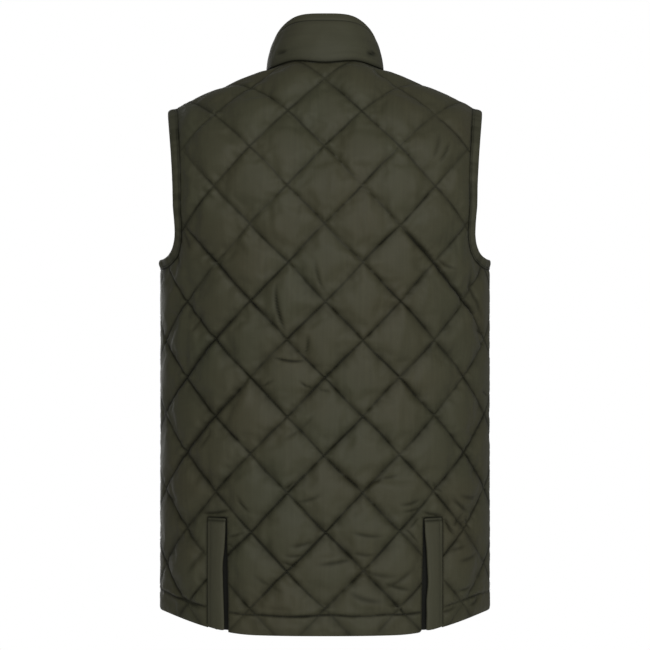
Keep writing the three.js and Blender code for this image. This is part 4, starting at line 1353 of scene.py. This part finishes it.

# %% [markdown]
# ## Armhole bindings
# A bound armhole is a strip of plain cloth that wraps the cut edge and is stitched down near its inner edge. It runs
# round a tight curve, so it wrinkles across, most under the arm. Painted shade darkens its seam, its stitches and the
# troughs of its wrinkles.

# %% Shape of a binding
BINDING_SECTION = [  # how far across from the edge to the seam, the height over the form, and its painted shade
    (1.0, 0.0, 1),
    (1.0, 1.6, 1),
    (0.97, 2.7, 0.7),
    (0.86, 3.0, 0.2),
    (0.8, 2.5, 0.5),
    (0.72, 3.2, 0.1),
    (0.55, 4.0, 0),
    (0.34, 4.4, 0),
    (0.16, 4.0, 0),
    (0.04, 3.0, 0),
    (0.0, 1.9, 0),
    (0.06, 0.5, 0),
    (0.3, 0.0, 0),
    (0.65, 0.0, 0),
]
BINDING_STITCH = 0.8  # where its stitches lie across it
BINDING_SEEDS = {1: 11, -1: 12}
BINDING_STEPS = (70, 62)  # along the lower and the upper half of an armhole


def binding_edges(side):
    return [run_of(*armhole_curve(side, inset, *BINDING_STEPS)) for inset in (0, BINDING_WIDTH)]


def binding_rings(wearer_side):
    seed = BINDING_SEEDS[wearer_side]
    halves = []
    for side in ("back", "front"):
        outer, seam = binding_edges(side)
        run = lengths_along(outer)
        under_arm = bell(run, 90)
        points = []
        for across, height, _ in BINDING_SECTION:
            drawn = (across > 0.6) * (0.035 + 0.035 * ripple(run, 26, seed + 9))
            flat = mix(outer, seam, (across + drawn)[:, None])
            wrinkle = ripple(run, 10, seed) * 0.8 + ripple(run + 40, 23, seed + 5) * 0.7
            lift = wrinkle * (0.45 + 0.75 * under_arm) * np.sin(np.pi * min(1, across * 1.1)) * (height > 2)
            lift = lift * smooth(run / 8)
            points.append(over(side, wearer_side * flat[:, 0], flat[:, 1], height + lift))
        halves.append(np.stack(points, axis=1))
    return np.concatenate([halves[0][:-1], halves[1][:0:-1]])


# %% Build the bindings
for suffix, wearer_side in WEARER_SIDES.items():
    rings = binding_rings(wearer_side)
    run = lengths_along(rings[:, 7])
    # Painted shade darkens the binding at its seam and stitches, and in the troughs of its wrinkles.
    seam_strength = np.clip(0.75 + 0.4 * ripple(run, 50, 13), 0, 1)[:, None]
    across, height, dark = np.array(BINDING_SECTION).T
    wrinkle = np.clip(-ripple(run, 10, BINDING_SEEDS[wearer_side]), 0, 1)[:, None]
    shade = seam_strength * dark + 0.3 * wrinkle * (across > 0.2) * (height > 2)
    binding = folded_strip(f"armhole_binding_cloth_{suffix}", rings, joined=True, shade=shade)
    dress(binding, f"armhole_binding_{suffix}", plain_cloth)

# %% [markdown]
# ## Vents
# Each vent is a slit with a plain band down its outer edge and a loose gusset of lining behind it. The band stands a
# little proud, its free edge waves, and the stitches across its top pucker it; painted shade darkens its seams and
# those puckers. The gusset is what looks black in the slit: it lies deep, and little light reaches it. Its cloth is
# painted near-black, as painted shade.

# %% Shape of a vent band
BAND_SECTION = [  # how far across from the slit to the seam, the height over the form, and its painted shade
    (1.0, 0.2, 0.6),
    (1.0, 2.4, 0.4),
    (0.96, 3.3, 0.15),
    (0.87, 3.5, 0.1),
    (0.82, 3.0, 0.22),
    (0.76, 3.8, 0.05),
    (0.58, 4.6, 0),
    (0.38, 4.9, 0),
    (0.18, 4.9, 0),
    (0.05, 4.3, 0),
    (0.0, 2.9, 0),
    (0.02, 1.0, 0),
    (0.12, 0.3, 0),
    (0.5, 0.2, 0),
]
BAND_STITCH = 0.82
BAND_SEEDS = {1: 21, -1: 22}
BAND_TOP = -VENT_TOP + SEAM_GAP
band_foot = float(hem_level("back", vent_line + VENT_BAND_WIDTH / 2))


def band_place(t, across, bow=0.0):
    """The flat point at a share of the way across a vent band."""
    slit = vent_line + vent_half_gap(t) + bow
    s = mix(slit, vent_line + VENT_BAND_WIDTH - SEAM_GAP, across)
    share = (t + VENT_TOP) / (band_foot + VENT_TOP)
    return s, t + share * (hem_level("back", s) - band_foot)


def band_rings(wearer_side):
    t = np.linspace(BAND_TOP, band_foot, 70)
    from_top = t - BAND_TOP
    seed = BAND_SEEDS[wearer_side]
    wave = ripple(t, 46, seed) * smooth(from_top / 20)
    down_share = from_top / (band_foot - BAND_TOP)
    bow = 2.3 * np.sin(np.pi * down_share) ** 2 + 0.9 * wave * np.sin(np.pi * down_share)
    points = []
    for across, height, _ in BAND_SECTION:
        s, down = band_place(t, across, bow)
        pressed = mix(0.5, 1, smooth(from_top / 9)) - 0.16 * bell(from_top - 3.2, 1.2)
        folds = ripple(t + 30 * across, 15, seed + 7) * 0.45 * np.sin(np.pi * across) * np.exp(-from_top / 38)
        folds = folds + ripple(t, 60, seed + 3) * 0.5 * np.sin(np.pi * across)
        free = wave * (1 - across) ** 2 * 0.9
        lift = height * pressed + (folds + free) * (height > 1.2)
        points.append(over("back", wearer_side * s, down, lift))
    return np.stack(points, axis=1)


# %% Build the bands and the gussets
GUSSET_PAST = 17  # mm that the gusset reaches past the slit on each side
gusset_top, gusset_foot = -VENT_TOP - 7, float(hem_level("back", vent_line)) - 1
for suffix, wearer_side in WEARER_SIDES.items():
    rings = band_rings(wearer_side)
    from_top = np.linspace(BAND_TOP, band_foot, len(rings))[:, None] - BAND_TOP
    # Painted shade darkens the band's seam and stitch lines, and two lines across its top where the stitches pucker it.
    shade = np.maximum(np.array(BAND_SECTION)[:, 2], 0.85 * bell(from_top, 1.5))
    shade = np.maximum(shade, 0.7 * bell(from_top - 4.4, 1.5))
    band = folded_strip(f"vent_band_cloth_{suffix}", rings, shade=shade)
    dress(band, f"vent_band_{suffix}", plain_cloth)
    t = np.linspace(gusset_top, gusset_foot, 40)
    section = [(a, -0.7) for a in np.linspace(-1, 1, 9)] + [(a, -2.2) for a in np.linspace(1, -1, 9)]
    sag = ripple(t, 70, 31) * 0.2
    hollow = 3.2 * smooth((t - gusset_top) / 40)
    rings = np.stack(
        [
            over("back", wearer_side * (vent_line + GUSSET_PAST * a), t, h + sag - 0.3 - hollow * (1 - a * a))
            for a, h in section
        ],
        axis=1,
    )
    gusset = folded_strip(f"vent_gusset_cloth_{suffix}", rings, levels=0)
    dress(gusset, f"vent_gusset_{suffix}", gusset_cloth_painted_shade)

# %% [markdown]
# ## The zip
# A moulded zip has two woven tapes and two rows of plastic teeth that lock between each other. One tooth is modelled
# and copied along both tapes, with one row half a step behind the other. Below the lowest teeth both tapes end in a
# small moulded box, into which the pin of one tape is pushed.

# %% Line of the zip
CHAIN = {"outer": 0.9, "hem_inset": 8, "collar_inset": 7}
collar_front = float(collar_height(np.array([math.pi]))[0])
neck_t = float(neck_point(np.array([math.pi]), "front")[1][0])
zip_foot = float(hem_level("front", 0.0)) - CHAIN["hem_inset"]
ZIP_ON_CLOTH = np.concatenate([np.linspace(zip_foot, neck_t + 6, 90), [neck_t + 1]])
ZIP_ON_COLLAR = np.linspace(2, collar_front - CHAIN["collar_inset"], 14)


def on_collar_front(s, height, out):
    angle = math.copysign(math.pi - math.asin(abs(s) / NECK_HALF_WIDTH), s)
    return collar_point(angle, height, out)


def zip_line(s, out):
    """A line up the zip, s from its middle: over the cloth of the fronts, and then up the collar."""
    return np.concatenate([over("front", s, ZIP_ON_CLOTH, out), on_collar_front(s, ZIP_ON_COLLAR, out)])


# %% Zip tapes
for suffix, wearer_side in WEARER_SIDES.items():
    section = [(s, -0.9) for s in (0.6, 3.2, 5, 8, 11, 14, 16)] + [(s, -1.9) for s in (16, 14, 11, 8, 5, 3.2, 0.6)]
    rings = np.stack([zip_line(wearer_side * s, out) for s, out in section], axis=1)
    tape = folded_strip(f"zip_tape_cloth_{suffix}", rings, levels=0)
    dress(tape, f"zip_tape_{suffix}", tape_cloth)


# %% Copies of a small shape
def model_of(build):
    """Builds a small shape once and returns its points and faces, in mm."""
    deselect_all()
    build()
    shape = bpy.context.object
    points, faces = coordinates(shape) / MM, face_list(shape.data)
    bpy.data.objects.remove(shape)
    return points, faces


def repeat(name, model, origins, axes):
    """Copies a model to each origin, turned so that its x, y and z follow the three axes given there."""
    points, faces = model
    placed = origins[:, None, :] + np.einsum("pk,nkd->npd", points, axes)
    count = len(points)
    every = [[k + i * count for k in face] for i in range(len(origins)) for face in faces]
    piece = new_piece(name, placed.reshape(-1, 3) * MM, every)
    bpy.ops.object.shade_smooth_by_angle(angle=math.radians(50))
    print(name, "has", len(origins), "copies and", triangles_of(piece), "triangles")
    return piece


def beveled_block(size, middle, bevel, segments=2):
    deselect_all()
    bpy.ops.mesh.primitive_cube_add(size=1)
    block = bpy.context.object
    set_coordinates(block, (coordinates(block) * np.array(size) + np.array(middle)) * MM)
    edit_all((bpy.ops.mesh.bevel, {"offset": bevel * MM, "segments": segments, "affect": "EDGES"}))
    return block


# %% Teeth
def tooth():
    """A moulded tooth: x across from the tape to the head, y out, z along the zip."""
    block = beveled_block((3.5, 2.4, 1.5), (0, 0, 0), 0.35, 1)
    points = coordinates(block)
    head = points[:, 0] > 1.2 * MM
    points[head, 2] *= 1.35
    points[~head, 2] *= 0.8
    set_coordinates(block, points)


TOOTH_STEP = 2.9
line = zip_line(1e-6, 0)
out = zip_line(1e-6, 1) - line
run = lengths_along(line)


def on_zip(values, at):
    return np.stack([np.interp(at, run, values[:, k]) for k in range(3)], axis=1)


def unit(vectors):
    return vectors / np.linalg.norm(vectors, axis=-1, keepdims=True)


origins, axes = [], []
for wearer_side in WEARER_SIDES.values():
    at = np.arange(2 + (0.5 * TOOTH_STEP if wearer_side < 0 else 0), run[-1] - 2, TOOTH_STEP)
    middle, up = on_zip(line, at), unit(on_zip(line, at + 0.5) - on_zip(line, at - 0.5))
    outwards = unit(on_zip(out, at))
    head = unit(np.cross(up, outwards))
    head = head * np.where(head[:, :1] * -wearer_side > 0, 1, -1)
    origins.append(middle - head * 1.15 + outwards * -0.3)
    axes.append(np.stack([head, outwards, np.cross(head, outwards)], axis=1))
teeth = repeat("zip_teeth", model_of(tooth), np.concatenate(origins), np.concatenate(axes))
dress(teeth, "zip_chain", moulded_teeth)


# %% Foot box
def foot_box():
    """The moulded box below the lowest teeth, which holds the zip's pin."""
    beveled_block((2 * ZIP_EDGE - 1.6, 2.8, 7.4), (0, 0, 0), 0.6)


box_place = over("front", np.array([1e-6]), np.array([zip_foot + 3.4]), -0.5)
box = repeat("zip_foot_box", model_of(foot_box), box_place, np.eye(3)[None])
box.data.materials.append(moulded_teeth)
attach(box, "garment")

# %% [markdown]
# ### Slider and pull tab
# The slider is die-cast metal: a plate that lies on the teeth, with a bridge over it. The pull tab turns on the bar
# that the bridge holds, so it is a piece and a body of its own. Both are built in the slider's own frame, with the
# chain along z and the outside at -y, and are then moved into place in their meshes.

# %% Slider
SLIDER = {"width": 8.6, "height": 11, "thickness": 3, "below": 14}
BRIDGE = {"width": 2.2, "thickness": 1.1, "rise": 3.4, "length": 7}
PULL = {"width": 6.6, "length": 27, "thickness": 1.2, "bar": 1.3, "eye": 5, "side_bar": 1.6, "hang": 0.1}
slider_level = collar_front - SLIDER["below"]
foot, head = (
    on_collar_front(1e-6, slider_level + end * SLIDER["height"] / 2, CHAIN["outer"] + SEAM_GAP) for end in (-1, 1)
)
tilt = math.atan2(foot[1] - head[1], head[2] - foot[2])
slider_place = mathutils.Matrix.Translation((foot + head) / 2 * MM) @ mathutils.Matrix.Rotation(tilt, 4, "X")


def join(name, blocks):
    deselect_all()
    for block in blocks:
        block.select_set(True)
    bpy.context.view_layer.objects.active = blocks[0]
    bpy.ops.object.join()
    blocks[0].name = name
    return blocks[0]


def slider_plate():
    """The plate is widest at its top and narrows to its foot."""
    plate = beveled_block((SLIDER["width"], SLIDER["thickness"], SLIDER["height"]), (0, -1.5, 0), 0.6, 3)
    points = coordinates(plate) / MM
    narrowed = mix(0.78, 1, smooth((points[:, 2] + 5.5) / 8))
    shoulder = mix(1, 0.8, smooth((points[:, 2] - 3.6) / 2))
    points[:, 0] *= narrowed * shoulder
    set_coordinates(plate, points * MM)
    return plate


def slider_bridge():
    """An arch: a short bar at each end, and a roof between them."""
    length, rise, thick = BRIDGE["length"], BRIDGE["rise"], BRIDGE["thickness"]
    legs = [
        beveled_block((BRIDGE["width"], rise, thick), (0, -3 - rise / 2 + 0.2, end * (length - thick) / 2), 0.25)
        for end in (-1, 1)
    ]
    roof = beveled_block((BRIDGE["width"], thick, length), (0, -3 - rise, 0), 0.35)
    return [*legs, roof]


slider = join("zip_slider_metal", [slider_plate(), *slider_bridge()])
slider.data.transform(slider_place)
make_active(slider)
bpy.ops.object.shade_smooth_by_angle(angle=math.radians(35))
dress(slider, "zip_slider", die_cast_metal)
print("the slider has", triangles_of(slider), "triangles and leans by", round(math.degrees(tilt), 1), "degrees")

# %% Pull tab
pull_place = slider_place @ mathutils.Matrix.Translation((0, (-3 - BRIDGE["rise"] / 2 + 0.275) * MM, 0))
pull_place = pull_place @ mathutils.Matrix.Rotation(PULL["hang"], 4, "X")


def pull_plate():
    """A flat frame with an eye for the bridge, drawn as a grid whose one cell is cut out, then given its thickness."""
    half, bar = PULL["width"] / 2, PULL["bar"] / 2
    columns = [-half, -half + PULL["side_bar"], half - PULL["side_bar"], half]
    rows = [-PULL["length"], -PULL["length"] + 2, -PULL["eye"] - 9, -PULL["eye"], -bar, bar]
    deselect_all()
    bpy.ops.mesh.primitive_grid_add(x_subdivisions=len(columns) - 1, y_subdivisions=len(rows) - 1, size=1)
    plate = bpy.context.object
    x, z = np.meshgrid(columns, rows)
    narrow = np.where(np.abs(x) > 2, np.interp(z, [-27, -25, -14, -5, 1], [0.86, 1.0, 1.0, 0.9, 1.0]), 1)
    set_coordinates(plate, np.stack([x * narrow, 0 * x, z], axis=-1).reshape(-1, 3) * MM)
    bpy.ops.object.mode_set(mode="EDIT")
    bpy.ops.mesh.select_mode(type="FACE")
    bpy.ops.mesh.select_all(action="DESELECT")
    bpy.ops.object.mode_set(mode="OBJECT")
    for face in plate.data.polygons:
        face.select = abs(face.center.x) < 0.5 * MM and -PULL["eye"] < face.center.z / MM < -bar
    bpy.ops.object.mode_set(mode="EDIT")
    bpy.ops.mesh.delete(type="FACE")
    bpy.ops.object.mode_set(mode="OBJECT")
    wall = plate.modifiers.new("wall", "SOLIDIFY")
    wall.thickness, wall.offset = PULL["thickness"] * MM, 0
    edges = plate.modifiers.new("edges", "BEVEL")
    edges.width, edges.segments, edges.limit_method = 0.35 * MM, 3, "ANGLE"
    for modifier in (wall, edges):
        bpy.ops.object.modifier_apply(modifier=modifier.name)
    return plate


pull_tab = pull_plate()
pull_tab.name = "zip_pull_metal"
pull_tab.data.transform(pull_place)
make_active(pull_tab)
edit_all(OUTWARDS)
bpy.ops.object.shade_smooth_by_angle(angle=math.radians(35))
dress(pull_tab, "zip_pull", die_cast_metal, body="pull_tab")
print("the pull tab hangs at", [round(v, 4) for v in pull_place.translation])

# %% [markdown]
# ## Stitches
# Quilting, hem and top stitching are rows of short threads that dip into the cloth. One stitch is modelled, a slim
# capsule of a few faces, and copied along each seam at the machine's pace of 3.2 mm. They sit in the valleys that the
# cloth already has.

# %% One stitch, and a row of them
STITCH_PACE = 3.2
STITCH_RADIUS = 0.27


def stitch():
    bpy.ops.mesh.primitive_uv_sphere_add(segments=5, ring_count=3, radius=1)
    thread = bpy.context.object
    size = np.array([STITCH_RADIUS, STITCH_RADIUS * 0.8, STITCH_PACE * 0.4])
    set_coordinates(thread, coordinates(thread) * size * MM)


STITCH = model_of(stitch)


def sew(name, starts, ends, ups):
    """A seam with one stitch from each start to its end, its upper side along ups."""
    along = unit(ends - starts)
    sideways = unit(np.cross(ups, along))
    axes = np.stack([sideways, np.cross(along, sideways), along], axis=1)
    seam = repeat(name, STITCH, (starts + ends) / 2, axes)
    seam.data.materials.append(sewing_thread)
    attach(seam, "garment")
    return seam


# %% Lines to sew along
def quilting_stitches(loop):
    """Starts and ends of the stitches on all quilting lines inside an outline."""
    reach = lattice_reach(loop)
    length = np.hypot(DIAMOND_WIDE, DIAMOND_HIGH) / 2
    step = STITCH_PACE / length
    starts, ends = [], []
    for line_number in range(-reach, reach + 1):
        along = np.arange(-reach, reach, step)
        for swap in (False, True):
            for group, shift in ((starts, 0.15 * step), (ends, 0.85 * step)):
                u, v = along * 0 + line_number, along + shift
                group.append(np.stack(from_lattice(*((v, u) if swap else (u, v))), axis=1))
    starts, ends = np.concatenate(starts), np.concatenate(ends)
    keep = inside(loop, starts) & inside(loop, ends)
    starts, ends = starts[keep], ends[keep]
    keep = (distance_to(loop, starts) > 2.5) & (distance_to(loop, ends) > 2.5)
    return starts[keep], ends[keep]


def line_stitches(line):
    """Starts and ends of stitches along a line of flat or solid points."""
    run = lengths_along(line)
    at = np.arange(1.0, run[-1] - STITCH_PACE, STITCH_PACE)

    def pick(where):
        return np.stack([np.interp(where, run, line[:, k]) for k in range(line.shape[1])], axis=1)

    return pick(at + 0.15 * STITCH_PACE), pick(at + 0.85 * STITCH_PACE)


# %% Sew the quilted pieces
THREAD_HEIGHT = STITCHED + 0.12
BESIDE_ZIP = 7.5  # from a front's edge to the stitches that hold the tape
for name, (side, runs) in PATTERN.items():
    loop = np.concatenate([divide(part, 5)[:-1] for part in runs])
    hem_s = np.linspace(-1, 1, 600) * side_seam(side, HEM_AT_SIDE)
    hem_stitches = line_stitches(run_of(hem_s, hem_level(side, hem_s) - HEM_WIDTH))
    keep = inside(loop, hem_stitches[0]) & inside(loop, hem_stitches[1])
    parts = [quilting_stitches(loop), [part[keep] for part in hem_stitches]]
    if side == "front":
        s = (1 if name == "front_left" else -1) * (ZIP_EDGE + BESIDE_ZIP)
        parts.append(line_stitches(run_of([s, s], [neck_t + 14, float(hem_level("front", s)) - 3])))
    starts, ends = (np.concatenate(part) for part in zip(*parts))
    placed = [over(side, *wander(*part.T, distance_to(loop, part)), THREAD_HEIGHT) for part in (starts, ends)]
    sew(f"{name}_stitches", *placed, outward(side, starts[:, 0], starts[:, 1]))

# %% Top stitching on the plain pieces
rows = [collar_point(angles, tops - COLLAR_STITCH, COLLAR_THICK - 0.8)]
ups = [neck_facing(angles)]
for wearer_side in WEARER_SIDES.values():
    for side in ("back", "front"):
        outer, seam = binding_edges(side)
        flat = mix(outer, seam, BINDING_STITCH)
        rows.append(over(side, wearer_side * flat[:, 0], flat[:, 1], 2.75))
        ups.append(outward(side, wearer_side * flat[:, 0], flat[:, 1]))
    t = np.linspace(BAND_TOP + 3.2, band_foot - 2, 60)
    s, down = band_place(t, BAND_STITCH)
    rows.append(over("back", wearer_side * s, down, 3.2))
    ups.append(outward("back", wearer_side * s, down))
    across = np.linspace(0.06, BAND_STITCH, 12)
    s, down = band_place(BAND_TOP + 3.2 + 0 * across, across)
    rows.append(over("back", wearer_side * s, down, np.interp(across, [0, 0.2, 0.6, 0.82], [2.6, 3.1, 3.0, 2.2])))
    ups.append(outward("back", wearer_side * s, down))
starts, ends, normals = [], [], []
for row, up in zip(rows, ups):
    a, b = line_stitches(np.concatenate([row, up], axis=1))
    starts.append(a[:, :3])
    ends.append(b[:, :3])
    normals.append(a[:, 3:])
sew("top_stitches", np.concatenate(starts), np.concatenate(ends), np.concatenate(normals))
